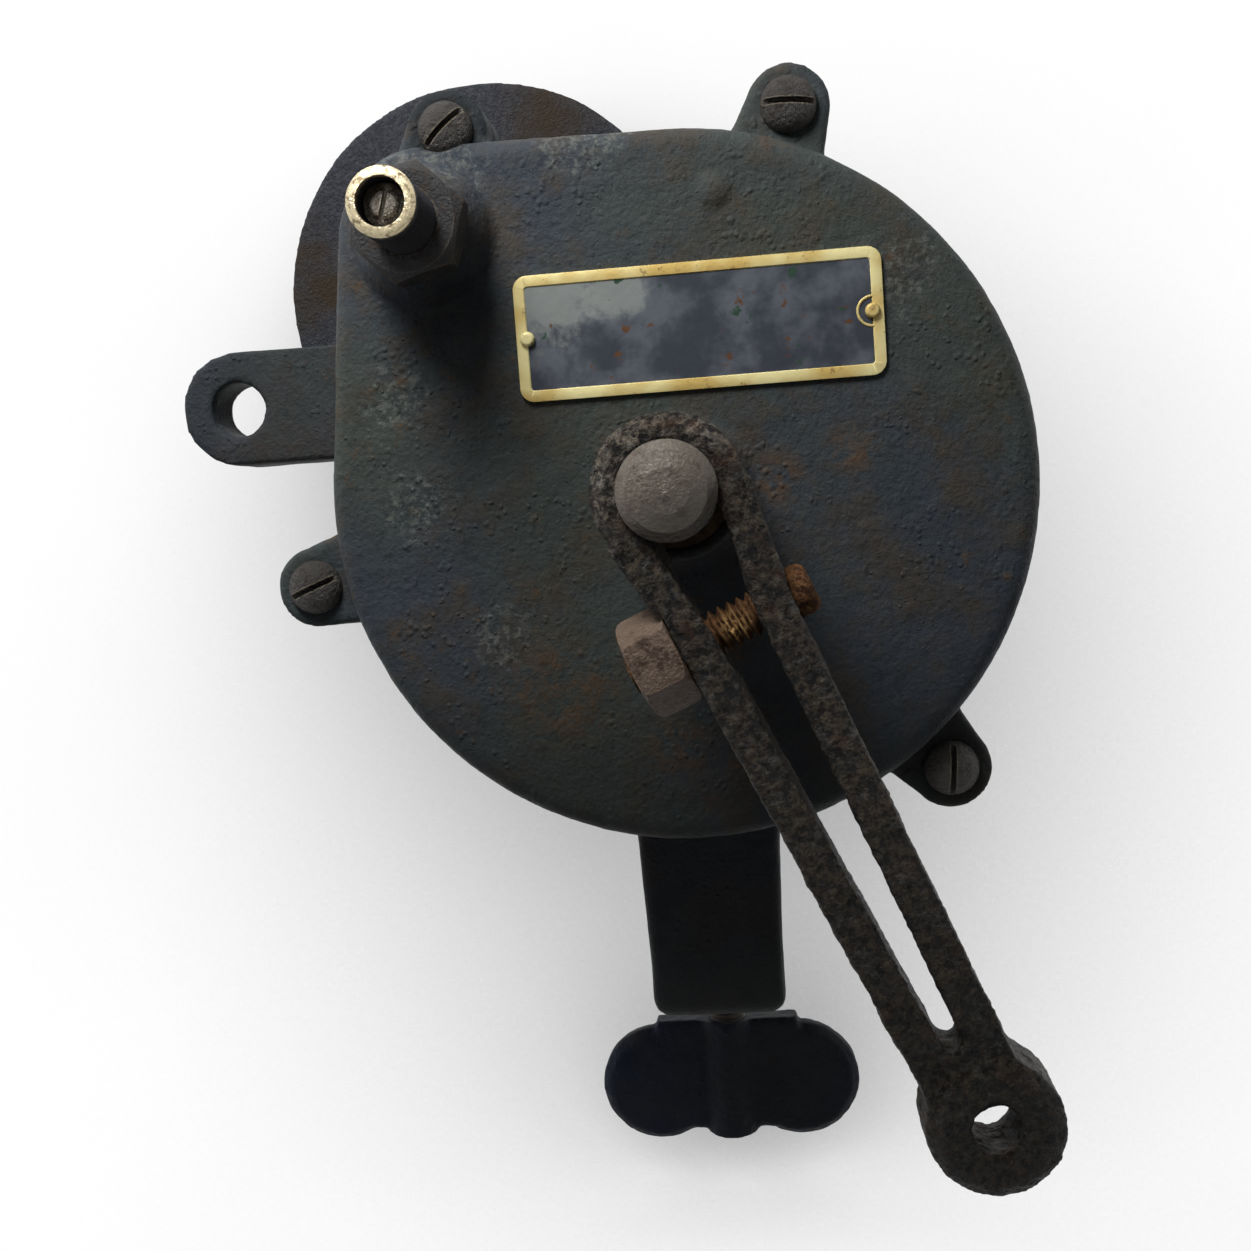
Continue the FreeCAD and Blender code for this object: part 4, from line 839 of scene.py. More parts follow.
BARE = WornSteel(name="bare_steel", skin=(126, 120, 112), stain=(84, 74, 64), metal=0.5, rough=(0.25, 0.45))
SCREW = WornSteel(
    name="screw_steel",
    skin=(72, 69, 66),
    stain=(50, 45, 41),
    bright=(160, 148, 126),
    metal=0.15,
    rough=(0.3, 0.5),
    grain=0.0012,
)
DARK = WornSteel(
    name="dark_steel", skin=(46, 46, 47), stain=(54, 47, 41), bright=(126, 114, 100), metal=0.15, edge_width=0.0012
)
NUT = WornSteel(
    name="nut_steel",
    gloss=0.14,
    skin=(104, 88, 76),
    stain=(64, 50, 40),
    bright=(132, 106, 84),
    metal=0.1,
    rough=(0.26, 0.5),
)
GEAR = WornSteel(name="gear_steel", skin=(84, 80, 75), stain=(56, 46, 36), metal=0.4, rough=(0.3, 0.5))
# Dirty bronze darkened far below its own colour, partly as painted shade where the front bush shows between the crank's
# bars.
BRONZE = Brass(name="bush_bronze", pale=(84, 68, 46), gold=(70, 54, 36), tarnish=(44, 34, 26), share=0.5)
SLEEVE = RimWorn()
RUST = OrangeRust()
BRASS = Brass()
ENAMEL = Enamel()
GRIT = Grit()
PAPER = Paper()


# Modelling by operators


class Bench:
    """Short calls for the modelling operators, each on one piece at a time."""

    @staticmethod
    def clear() -> None:
        """Leaves edit mode and deselects everything."""
        if bpy.context.object and bpy.context.object.mode != "OBJECT":
            bpy.ops.object.mode_set(mode="OBJECT")
        bpy.ops.object.select_all(action="DESELECT")

    @classmethod
    def hold(cls, piece: Piece) -> Piece:
        """Selects one piece alone and makes it active."""
        cls.clear()
        piece.select_set(True)
        bpy.context.view_layer.objects.active = piece
        return piece

    @classmethod
    def edit(cls, whole: bool = True) -> None:
        """Opens edit mode on the active piece, with all of it selected or the selection as it was."""
        bpy.ops.object.mode_set(mode="EDIT")
        if whole:
            bpy.ops.mesh.select_all(action="SELECT")

    @classmethod
    def leave(cls) -> None:
        """Goes back to object mode."""
        bpy.ops.object.mode_set(mode="OBJECT")

    @classmethod
    def settle(cls, piece: Piece) -> None:
        """Puts the object at the origin, unturned, with its place in its mesh."""
        cls.hold(piece)
        bpy.ops.object.transform_apply(location=True, rotation=True, scale=True)

    @classmethod
    def stand(cls, piece: Piece, spot: Vector, turn: Matrix | None = None) -> None:
        """Turns a piece, moves it to a place and settles it there, shaded smooth.

        Args:
            piece: The piece.
            spot: The place, in metres.
            turn: The turn, or None to leave it upright.
        """
        piece.matrix_world = Matrix.Translation(spot) @ (turn or Matrix.Identity(4))
        cls.settle(piece)
        cls.smooth(piece, 30)

    @classmethod
    def blank(cls, name: str, radius: float, low: float, length: float, bevel: float, rounds: int, sides: int) -> Piece:
        """Adds an upright cylinder with bevelled ends, in millimetres.

        Args:
            name: Its name.
            radius: Its radius.
            low: The height of its lower end.
            length: Its length.
            bevel: The size of its bevels.
            rounds: The segments of a bevel.
            sides: The sides of the cylinder.

        Returns:
            The cylinder.
        """
        cls.clear()
        bpy.ops.mesh.primitive_cylinder_add(
            vertices=sides, radius=radius * MM, depth=length * MM, location=(0, 0, (low + length / 2) * MM)
        )
        blank = cls.named(name)
        cls.edit(whole=False)
        cls.pick(blank, lambda middle, normal: abs(normal.z) > FACING)
        bpy.ops.mesh.region_to_loop()
        bpy.ops.mesh.bevel(offset=bevel * MM, segments=rounds)
        cls.leave()
        cls.settle(blank)
        return blank

    @classmethod
    def named(cls, name: str) -> Piece:
        """Names the piece that an operator has just added."""
        piece = bpy.context.object
        piece.name = name
        piece.data.name = name
        return piece

    @classmethod
    def copy(cls, node: str, name: str) -> Piece:
        """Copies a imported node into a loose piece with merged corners.

        Args:
            node: The node's name.
            name: The new piece's name.

        Returns:
            The copy, at the origin.
        """
        piece = add(name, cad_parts[node].data.copy())
        piece.data.name = name
        piece.data.materials.clear()
        cls.hold(piece)
        cls.edit()
        bpy.ops.mesh.remove_doubles(threshold=MERGE)
        bpy.ops.mesh.normals_make_consistent(inside=False)
        cls.leave()
        return piece

    @classmethod
    def apply(cls, piece: Piece, kind: str, **values: object) -> None:
        """Adds a modifier and applies it.

        Args:
            piece: The piece.
            kind: The modifier's type.
            **values: Its settings.
        """
        cls.hold(piece)
        modifier = piece.modifiers.new(kind.lower(), kind)
        for name, value in values.items():
            setattr(modifier, name, value)
        bpy.ops.object.modifier_apply(modifier=modifier.name)

    @classmethod
    def ease(cls, piece: Piece, width: float, angle: float, smooth: float = 35.0) -> None:
        """Rounds a piece's sharp edges and shades it smooth.

        Args:
            piece: The piece.
            width: The width of the rounding, in millimetres.
            angle: The least angle of an edge that it rounds, in degrees.
            smooth: The angle below which edges are shaded smooth, in degrees.
        """
        cls.apply(
            piece, "BEVEL", width=width * MM, segments=2, limit_method="ANGLE", angle_limit=math.radians(angle)
        )
        cls.smooth(piece, smooth)

    @classmethod
    def cut(cls, piece: Piece, tool: Piece, way: str = "DIFFERENCE") -> None:
        """Cuts a piece with a tool, or keeps what they share, and deletes the tool."""
        cls.apply(piece, "BOOLEAN", object=tool, operation=way, solver="EXACT")
        bpy.data.objects.remove(tool, do_unlink=True)

    @classmethod
    def halve(cls, piece: Piece, spot: Vector, outward: Vector, near: float = 1e-7) -> None:
        """Cuts a piece through by a plane, closes it and drops what lies on the outward side."""
        cls.hold(piece)
        cls.edit()
        bpy.ops.mesh.bisect(plane_co=spot, plane_no=outward, clear_outer=True, use_fill=True, threshold=near)
        cls.leave()

    @classmethod
    def pick(cls, piece: Piece, test: Callable[[Vector, Vector], bool]) -> None:
        """Selects the faces that pass a test, in edit mode.

        Args:
            piece: The piece, which edit mode is open on.
            test: Takes a face's middle and normal.
        """
        mesh = bmesh.from_edit_mesh(piece.data)
        bpy.context.tool_settings.mesh_select_mode = (False, False, True)
        mesh.select_mode = {"FACE"}
        mesh.normal_update()
        for face in mesh.faces:
            face.select_set(False)
        for face in mesh.faces:
            if test(face.calc_center_median(), face.normal):
                face.select_set(True)
        mesh.select_flush_mode()
        bmesh.update_edit_mesh(piece.data)

    @classmethod
    def smooth(cls, piece: Piece, angle: float = 35.0) -> None:
        """Shades a piece smooth across edges flatter than an angle in degrees."""
        cls.hold(piece)
        bpy.ops.object.shade_smooth_by_angle(angle=math.radians(angle))

    @classmethod
    def dress(
        cls, piece: Piece, finish: Finish | None, body: Body, slot: Slot, replaces: tuple[str, ...] = ()
    ) -> None:
        """Gives a finished piece its material and its body, and hides the nodes that it stands for.

        Args:
            piece: The piece.
            finish: Its finish, or None where it has its materials already.
            body: The body that it rides on.
            slot: The record's slot; not used.
            replaces: The nodes that it stands for.
        """
        if finish:
            piece.data.materials.clear()
            piece.data.materials.append(finish.material())
        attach(piece, body.value)
        if replaces:
            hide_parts(*replaces)
        log.info("%s: %d faces", piece.name, len(piece.data.polygons))


@dataclass(frozen=True)
class Lumps:
    """One layer of unevenness on a casting: the size of its lumps and their height, in millimetres."""

    size: float
    height: float
    depth: int = 2


def cast_skin(piece: Piece, grain: float, soften: int, layers: tuple[Lumps, ...]) -> None:
    """Gives a merged copy the soft corners and uneven skin of a sand casting.

    Args:
        piece: The piece.
        grain: The side of the new faces, in millimetres.
        soften: How many times its corners are smoothed.
        layers: The layers of unevenness.
    """
    Bench.apply(piece, "REMESH", mode="VOXEL", voxel_size=grain * MM)
    Bench.apply(piece, "SMOOTH", factor=0.5, iterations=soften)
    for number, layer in enumerate(layers):
        texture = bpy.data.textures.new(f"{piece.name}_lumps_{number}", "CLOUDS")
        texture.noise_scale = layer.size * MM
        texture.noise_depth = layer.depth
        Bench.apply(
            piece, "DISPLACE", texture=texture, texture_coords="LOCAL", strength=layer.height * MM, mid_level=0.5
        )
    Bench.hold(piece)
    bpy.ops.object.shade_smooth()


@dataclass
class Thread:
    """A cut screw thread along +Z from the origin, in millimetres."""

    radius: float
    pitch: float
    length: float
    bevel: float = 0.6
    steps: int = 40

    @property
    def depth(self) -> float:
        """The depth of the thread."""
        return 0.6 * self.pitch

    def rod(self, name: str) -> Piece:
        """Makes the threaded rod, closed and with bevelled ends.

        Args:
            name: The piece's name.

        Returns:
            The rod, at the origin, in metres.
        """
        turns = math.ceil(self.length / self.pitch) + 3
        root = (self.radius - self.depth) * MM
        Bench.clear()
        bpy.ops.mesh.primitive_plane_add(size=0.001, location=(0, 0, 0))
        rod = Bench.named(name)
        bpy.context.tool_settings.mesh_select_mode = (True, False, False)
        Bench.edit(whole=False)
        mesh = bmesh.from_edit_mesh(rod.data)
        bmesh.ops.delete(mesh, geom=list(mesh.verts)[1:], context="VERTS")
        first = mesh.verts[:][0]
        first.co = (root, 0, -1.5 * self.pitch * MM)
        first.select_set(True)
        bmesh.update_edit_mesh(rod.data)
        flat = self.pitch * MM / 8
        flank = (self.pitch * MM - 2 * flat) / 2
        for step in ((0, 0, flat), (self.depth * MM, 0, flank), (0, 0, flat), (-self.depth * MM, 0, flank)):
            bpy.ops.mesh.extrude_region_move(TRANSFORM_OT_translate={"value": step})
        Bench.leave()
        Bench.apply(
            rod,
            "SCREW",
            angle=math.tau,
            screw_offset=self.pitch * MM,
            iterations=turns,
            steps=self.steps,
            render_steps=self.steps,
            axis="Z",
            use_merge_vertices=True,
            merge_threshold=MERGE,
        )
        Bench.edit()
        bpy.ops.mesh.remove_doubles(threshold=MERGE)
        bpy.ops.mesh.fill_holes(sides=0)
        bpy.ops.mesh.quads_convert_to_tris()
        bpy.ops.mesh.normals_make_consistent(inside=False)
        Bench.leave()
        blank = Bench.blank(f"{name}_blank", self.radius * 1.02, 0, self.length, self.bevel, 1, self.steps * 2)
        Bench.cut(rod, blank, "INTERSECT")
        return rod


# The sub-assemblies


@dataclass(frozen=True)
class Casting:
    """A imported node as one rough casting, with the grain, softening and lumps of its skin."""

    node: str
    name: str
    finish: Finish
    body: Body
    slot: Slot
    grain: float
    soften: int
    layers: tuple[Lumps, ...]

    def copy(self) -> Piece:
        """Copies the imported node."""
        return Bench.copy(self.node, self.name)

    def build(self) -> None:
        """Makes the casting."""
        piece = self.copy()
        cast_skin(piece, self.grain, self.soften, self.layers)
        Bench.dress(piece, self.finish, self.body, self.slot, (self.node,))


@dataclass(frozen=True)
class CoverCasting(Casting):
    """The front cover, with the small pimple beside its plate."""

    pimple: Triple = (10.8, 0.0, 58.5)
    pimple_radius: float = 3.2
    pimple_rise: float = 1.1

    def copy(self) -> Piece:
        """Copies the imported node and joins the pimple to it."""
        cover = super().copy()
        middle = place(*self.pimple)
        Bench.clear()
        bpy.ops.mesh.primitive_uv_sphere_add(
            segments=24, ring_count=12, radius=self.pimple_radius * MM, location=middle
        )
        pimple = Bench.named("cover_pimple")
        Bench.edit()
        bpy.ops.transform.resize(value=(1, self.pimple_rise / self.pimple_radius, 1), center_override=middle)
        Bench.leave()
        Bench.settle(pimple)
        Bench.hold(cover)
        pimple.select_set(True)
        bpy.ops.object.join()
        return cover


COVER_LUMPS = (Lumps(26.0, 0.35), Lumps(5.0, 0.22), Lumps(1.8, 0.16))
CASE_LUMPS = (Lumps(26.0, 0.4), Lumps(4.5, 0.25))
CRANK_LUMPS = (Lumps(9.0, 0.6), Lumps(2.4, 0.6), Lumps(0.9, 0.35))
WHEEL_LUMPS = (Lumps(30.0, 1.2, 1), Lumps(2.0, 0.35))
CASTINGS = (
    CoverCasting("front_cover", "cover_casting", PAINT, Body.CASE, Slot.PAINT, 0.85, 2, COVER_LUMPS),
    Casting("rear_case", "case_casting", CASE_PAINT, Body.CASE, Slot.PAINT, 1.1, 2, CASE_LUMPS),
    Casting("crank_arm", "crank_casting", IRON, Body.CRANK, Slot.IRON, 0.5, 4, CRANK_LUMPS),
    Casting("grinding_wheel", "wheel_stone", GRIT, Body.SPINDLE, Slot.GRIT, 0.9, 1, WHEEL_LUMPS),
)


@dataclass
class CoverScrews:
    """The four round-head screws, modelled once and copied to the ears."""

    head_radius: float = 5.7
    head_rise: float = 4.4
    disc: float = 0.6
    rings: int = 7
    shank_radius: float = 3.1
    reach: float = 20.0
    slot_width: float = 1.15
    slot_depth: float = 2.3
    seat: float = 9.3
    edge: float = 0.18
    places: tuple[Triple, ...] = (
        (80.4, 70.5, -4.0),
        (80.4, 190.5, 21.0),
        (80.4, 310.5, 86.0),
        (88.58, 119.19, 40.0),
    )

    def model(self) -> Piece:
        """Makes one screw along +Z, its seat at the origin and its head above."""
        Bench.clear()
        bpy.ops.mesh.primitive_cylinder_add(
            vertices=48, radius=self.head_radius * MM, depth=self.disc * MM, location=(0, 0, self.disc / 2 * MM)
        )
        screw = Bench.named("cover_screw")
        Bench.settle(screw)
        Bench.edit(whole=False)
        Bench.pick(screw, lambda middle, normal: normal.z > FACING)
        last_radius, last_height = self.head_radius, self.disc
        for ring in range(1, self.rings + 1):
            angle = math.pi / 2 * ring / (self.rings + 0.6)
            radius = self.head_radius * math.cos(angle)
            height = self.disc + (self.head_rise - self.disc) * math.sin(angle)
            bpy.ops.mesh.extrude_region_move(TRANSFORM_OT_translate={"value": (0, 0, (height - last_height) * MM)})
            part = radius / last_radius
            bpy.ops.transform.resize(value=(part, part, 1), center_override=(0, 0, height * MM))
            last_radius, last_height = radius, height
        Bench.pick(screw, lambda middle, normal: normal.z < -FACING)
        bpy.ops.mesh.inset(thickness=(self.head_radius - self.shank_radius) * MM)
        bpy.ops.mesh.extrude_region_move(TRANSFORM_OT_translate={"value": (0, 0, -self.reach * MM)})
        bpy.ops.mesh.bevel(offset=0.5 * MM, segments=2)
        Bench.leave()
        Bench.clear()
        bpy.ops.mesh.primitive_cube_add(size=1, location=(0, 0, self.head_rise * MM))
        slot = Bench.named("slot_tool")
        slot.scale = (self.head_radius * 2.4 * MM, self.slot_width * MM, self.slot_depth * 2 * MM)
        Bench.settle(slot)
        Bench.cut(screw, slot)
        Bench.ease(screw, self.edge, 40)
        return screw

    def build(self) -> None:
        """Copies the screw to each ear, with its own slot angle."""
        model = self.model()
        for number, (reach, angle, slot) in enumerate(self.places):
            screw = add(f"cover_screw_{number + 1}", model.data.copy())
            around = math.radians(angle)
            spot = place(reach * math.cos(around), self.seat, reach * math.sin(around))
            stand = Matrix.Rotation(math.radians(90), 4, "X") @ Matrix.Rotation(math.radians(slot), 4, "Z")
            screw.matrix_world = Matrix.Translation(spot) @ stand
            Bench.settle(screw)
            Bench.dress(screw, SCREW, Body.CASE, Slot.DARK, ("cover_screws",))
        bpy.data.objects.remove(model, do_unlink=True)


@dataclass
class NamePlate:
    """The bare plate: a raised brass border, a sunken enamel field and its two pins."""

    width: float = 73.0
    height: float = 25.0
    thick: float = 0.8
    corner: float = 2.8
    x: float = 6.1
    z: float = 32.5
    border: float = 2.1
    sunk: float = 0.22
    pin_inset: float = 2.2
    slope: float = 0.3
    squeeze: float = 0.985
    edge: float = 0.12
    ring_radius: float = 2.9
    ring_thick: float = 0.28

    def build(self) -> None:
        """Makes the plate and the ring pressed round its right pin."""
        middle = place(self.x, -self.thick, self.z)
        Bench.clear()
        bpy.ops.mesh.primitive_plane_add(size=1, rotation=(math.radians(90), 0, 0))
        plate = Bench.named("plate_bare")
        plate.scale = (self.width * MM, self.height * MM, 1)
        plate.location = middle
        Bench.settle(plate)
        Bench.edit()
        bpy.ops.mesh.bevel(offset=self.corner * MM, segments=8, affect="VERTICES")
        bpy.ops.mesh.select_all(action="SELECT")
        bpy.ops.mesh.extrude_region_move(TRANSFORM_OT_translate={"value": (0, self.thick * MM, 0)})
        bpy.ops.mesh.select_all(action="SELECT")
        bpy.ops.mesh.normals_make_consistent(inside=False)
        Bench.pick(plate, lambda spot, normal: normal.y < -FACING)
        bpy.ops.mesh.inset(thickness=self.border * MM)
        bpy.ops.mesh.extrude_region_move(TRANSFORM_OT_translate={"value": (0, self.sunk * MM, 0)})
        part = (self.width - 2 * self.border - self.slope) / (self.width - 2 * self.border)
        bpy.ops.transform.resize(value=(part, 1, self.squeeze), center_override=middle)
        Bench.leave()
        plate.data.materials.append(BRASS.material())
        plate.data.materials.append(ENAMEL.material())
        floor = middle.y + self.sunk * MM
        for face in plate.data.polygons:
            face.material_index = 1 if abs(face.center.y - floor) < 1e-5 and face.normal.y < -FACING else 0
        Bench.ease(plate, self.edge, 50)
        Bench.dress(plate, None, Body.CASE, Slot.BRASS, ("name_plate",))
        self.ring(middle)

    def ring(self, middle: Vector) -> None:
        """Presses a low ring round the right pin, cut off where the plate's border ends.

        Args:
            middle: The middle of the plate's front.
        """
        Bench.clear()
        bpy.ops.mesh.primitive_torus_add(
            major_radius=self.ring_radius * MM,
            minor_radius=self.ring_thick * MM,
            major_segments=48,
            minor_segments=10,
            rotation=(math.radians(90), 0, 0),
        )
        ring = Bench.named("plate_ring")
        ring.location = middle + Vector(((self.width / 2 - self.pin_inset) * MM, self.sunk * MM, 0))
        Bench.settle(ring)
        inner = Vector(((self.width / 2 - self.border) * MM + middle.x, 0, 0))
        Bench.halve(ring, inner, Vector((1, 0, 0)), MERGE)
        Bench.smooth(ring)
        Bench.dress(ring, BRASS, Body.CASE, Slot.BRASS)


@dataclass
class WingScrew:
    """The bench clamp's screw: the cast wing and its cut thread."""

    radius: float = 4.7
    pitch: float = 1.5875
    wing_top: float = -65.4
    grain: float = 0.6
    layers: tuple[Lumps, ...] = (Lumps(8.0, 0.5), Lumps(2.0, 0.25))

    def build(self) -> None:
        """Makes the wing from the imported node's lower end, and the thread above it."""
        _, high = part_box("clamp_screw")
        wing = Bench.copy("clamp_screw", "wing_casting")
        Bench.halve(wing, Vector((0, 0, self.wing_top * MM)), Vector((0, 0, 1)))
        cast_skin(wing, self.grain, 3, self.layers)
        Bench.dress(wing, WING_PAINT, Body.SCREW, Slot.PAINT, ("clamp_screw",))
        start = self.wing_top - 1.5
        rod = Thread(self.radius, self.pitch, high.z / MM - start).rod("clamp_thread")
        Bench.stand(rod, Vector((0, 0, start * MM)))
        Bench.dress(rod, DARK, Body.SCREW, Slot.PAINT, ("clamp_screw",))


@dataclass
class PinchBolt:
    """The bolt across the split crank: its rusty head and its coarse thread in the slot."""

    radius: float = 3.92
    pitch: float = 1.81
    away: float = 25.5
    depth: float = -42.0
    head_from: float = 10.6
    past: float = 9.7
    overlap: float = 0.4
    grain: float = 0.25

    def build(self) -> None:
        """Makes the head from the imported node's right end, and the thread to the left of it."""
        along = ACROSS
        middle = place(self.away * math.sin(PINCH_TURN), self.depth, -self.away * math.cos(PINCH_TURN))
        head = Bench.copy("crank_clamp_bolt", "pinch_head")
        Bench.halve(head, middle + along * (self.head_from - self.overlap) * MM, -along)
        Bench.apply(head, "REMESH", mode="VOXEL", voxel_size=self.grain * MM)
        cast_skin(head, self.grain, 1, (Lumps(2.0, 0.35), Lumps(0.8, 0.2)))
        Bench.dress(head, RUST, Body.CRANK, Slot.RUST, ("crank_clamp_bolt",))
        length = 2 * self.head_from + self.past
        rod = Thread(self.radius, self.pitch, length).rod("pinch_thread")
        start = middle + along * (self.head_from - length) * MM
        Bench.stand(rod, start, facing(along))
        Bench.dress(rod, RUST, Body.CRANK, Slot.RUST, ("crank_clamp_bolt",))


@dataclass
class Spindle:
    """The wheel spindle with the thread that its nut turns on."""

    radius: float = 6.3
    pitch: float = 1.27
    flange_front: float = 98.65
    step: float = -23.8
    rise: float = 7.9

    def build(self) -> None:
        """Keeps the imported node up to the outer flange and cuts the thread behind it."""
        _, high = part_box("wheel_spindle")
        start = on_spindle(self.flange_front)
        shaft = Bench.copy("wheel_spindle", "spindle_shaft")
        Bench.halve(shaft, start, BEHIND)
        step, rise = place(0, self.step, 0).y, self.rise * MM
        for vert in shaft.data.vertices:
            if abs(vert.co.y - step) < 0.1 * MM:
                vert.co.y -= rise
        Bench.smooth(shaft, 30)
        Bench.dress(shaft, BARE, Body.SPINDLE, Slot.BARE, ("wheel_spindle",))
        rod = Thread(self.radius, self.pitch, (high.y - start.y) / MM).rod("arbor_thread")
        Bench.stand(rod, start, BACKWARD)
        Bench.dress(rod, BARE, Body.SPINDLE, Slot.BARE, ("wheel_spindle",))


@dataclass
class Sleeve:
    """The sleeve over the spindle's front end: a thread for its nut and a rounded bright rim."""

    radius: float = 6.33
    pitch: float = 1.27
    bore: float = 4.5
    thread_from: float = -32.2
    thread_to: float = -8.0

    def build(self) -> None:
        """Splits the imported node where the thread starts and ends, and puts the thread between."""
        rim = Bench.copy("spindle_sleeve", "sleeve_rim")
        Bench.halve(rim, on_spindle(self.thread_from), BEHIND)
        tail = Bench.copy("spindle_sleeve", "sleeve_tail")
        Bench.halve(tail, on_spindle(self.thread_to), Vector((0, -1, 0)))
        length = self.thread_to - self.thread_from
        rod = Thread(self.radius, self.pitch, length, 0.3).rod("sleeve_thread")
        Bench.clear()
        bpy.ops.mesh.primitive_cylinder_add(
            vertices=64, radius=self.bore * MM, depth=2 * length * MM, location=(0, 0, length / 2 * MM)
        )
        Bench.cut(rod, Bench.named("sleeve_bore"))
        Bench.stand(rod, on_spindle(self.thread_from), BACKWARD)
        for piece in (rim, tail, rod):
            Bench.smooth(piece, 30)
            Bench.dress(piece, SLEEVE, Body.CASE, Slot.BARE, ("spindle_sleeve",))


@dataclass(frozen=True)
class HexNut:
    """A hexagon nut whose corners are turned off at both faces, on an axis from its first face."""

    node: str
    finish: Finish
    body: Body
    across: float
    height: float
    start: Vector
    along: Vector
    turned: float = 1.5
    spare: float = 0.04
    edge: float = 0.15

    def build(self) -> None:
        """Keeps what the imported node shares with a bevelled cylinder."""
        nut = Bench.copy(self.node, f"{self.node}_turned")
        corner = self.across / 2 / math.cos(math.radians(30))
        length = self.height + self.spare
        blank = Bench.blank(f"{self.node}_blank", corner * 1.002, -length / 2, length, self.turned, 3, 96)
        Bench.stand(blank, self.start + self.along * (self.height / 2 * MM), facing(self.along))
        Bench.cut(nut, blank, "INTERSECT")
        Bench.ease(nut, self.edge, 25, 30)
        Bench.dress(nut, self.finish, self.body, Slot.DARK, (self.node,))


NUTS = (
    HexNut("sleeve_lock_nut", DARK, Body.CASE, 20.6, 8.5, on_spindle(-17.6), BEHIND),
    HexNut("arbor_nut", DARK, Body.SPINDLE, 19.05, 8.0, on_spindle(100.65), BEHIND),
    HexNut("crank_clamp_nut", NUT, Body.CRANK, 15.9, 8.7, place(-7.534, -42, -31.079), ACROSS),
)


@dataclass
class PlainNodes:
    """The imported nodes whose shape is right, each with its finish."""

    finishes: dict[str, Finish] = field(
        default_factory=lambda: {
            "crank_bush_front": BRONZE,
            "crank_bush_rear": BRONZE,
            "spindle_bush_rear": BRONZE,
            "name_plate_pins": BRASS,
            "thrust_washer_front": BARE,
            "thrust_washer_rear": BARE,
            "crank_shaft": DOME,
            "gear_key": BARE,
            "main_gear": GEAR,
            "pinion": GEAR,
            "inner_flange": DARK,
            "outer_flange": DARK,
            "blotter_inner": PAPER,
            "blotter_outer": PAPER,
            "arbor_washer": DARK,
            "swivel_pad": DARK,
        }
    )

    def dress(self) -> None:
        """Sets each node's material."""
        for name, finish in self.finishes.items():
            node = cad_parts[name]
            node.data.materials.clear()
            node.data.materials.append(finish.material())
            log.info("%s: %s", name, finish.name)


# The studio


@dataclass(frozen=True)
class Lamp:
    """One square soft lamp: its place in metres, its side in metres and its power in watts."""

    name: str
    spot: Triple
    side: float
    power: float


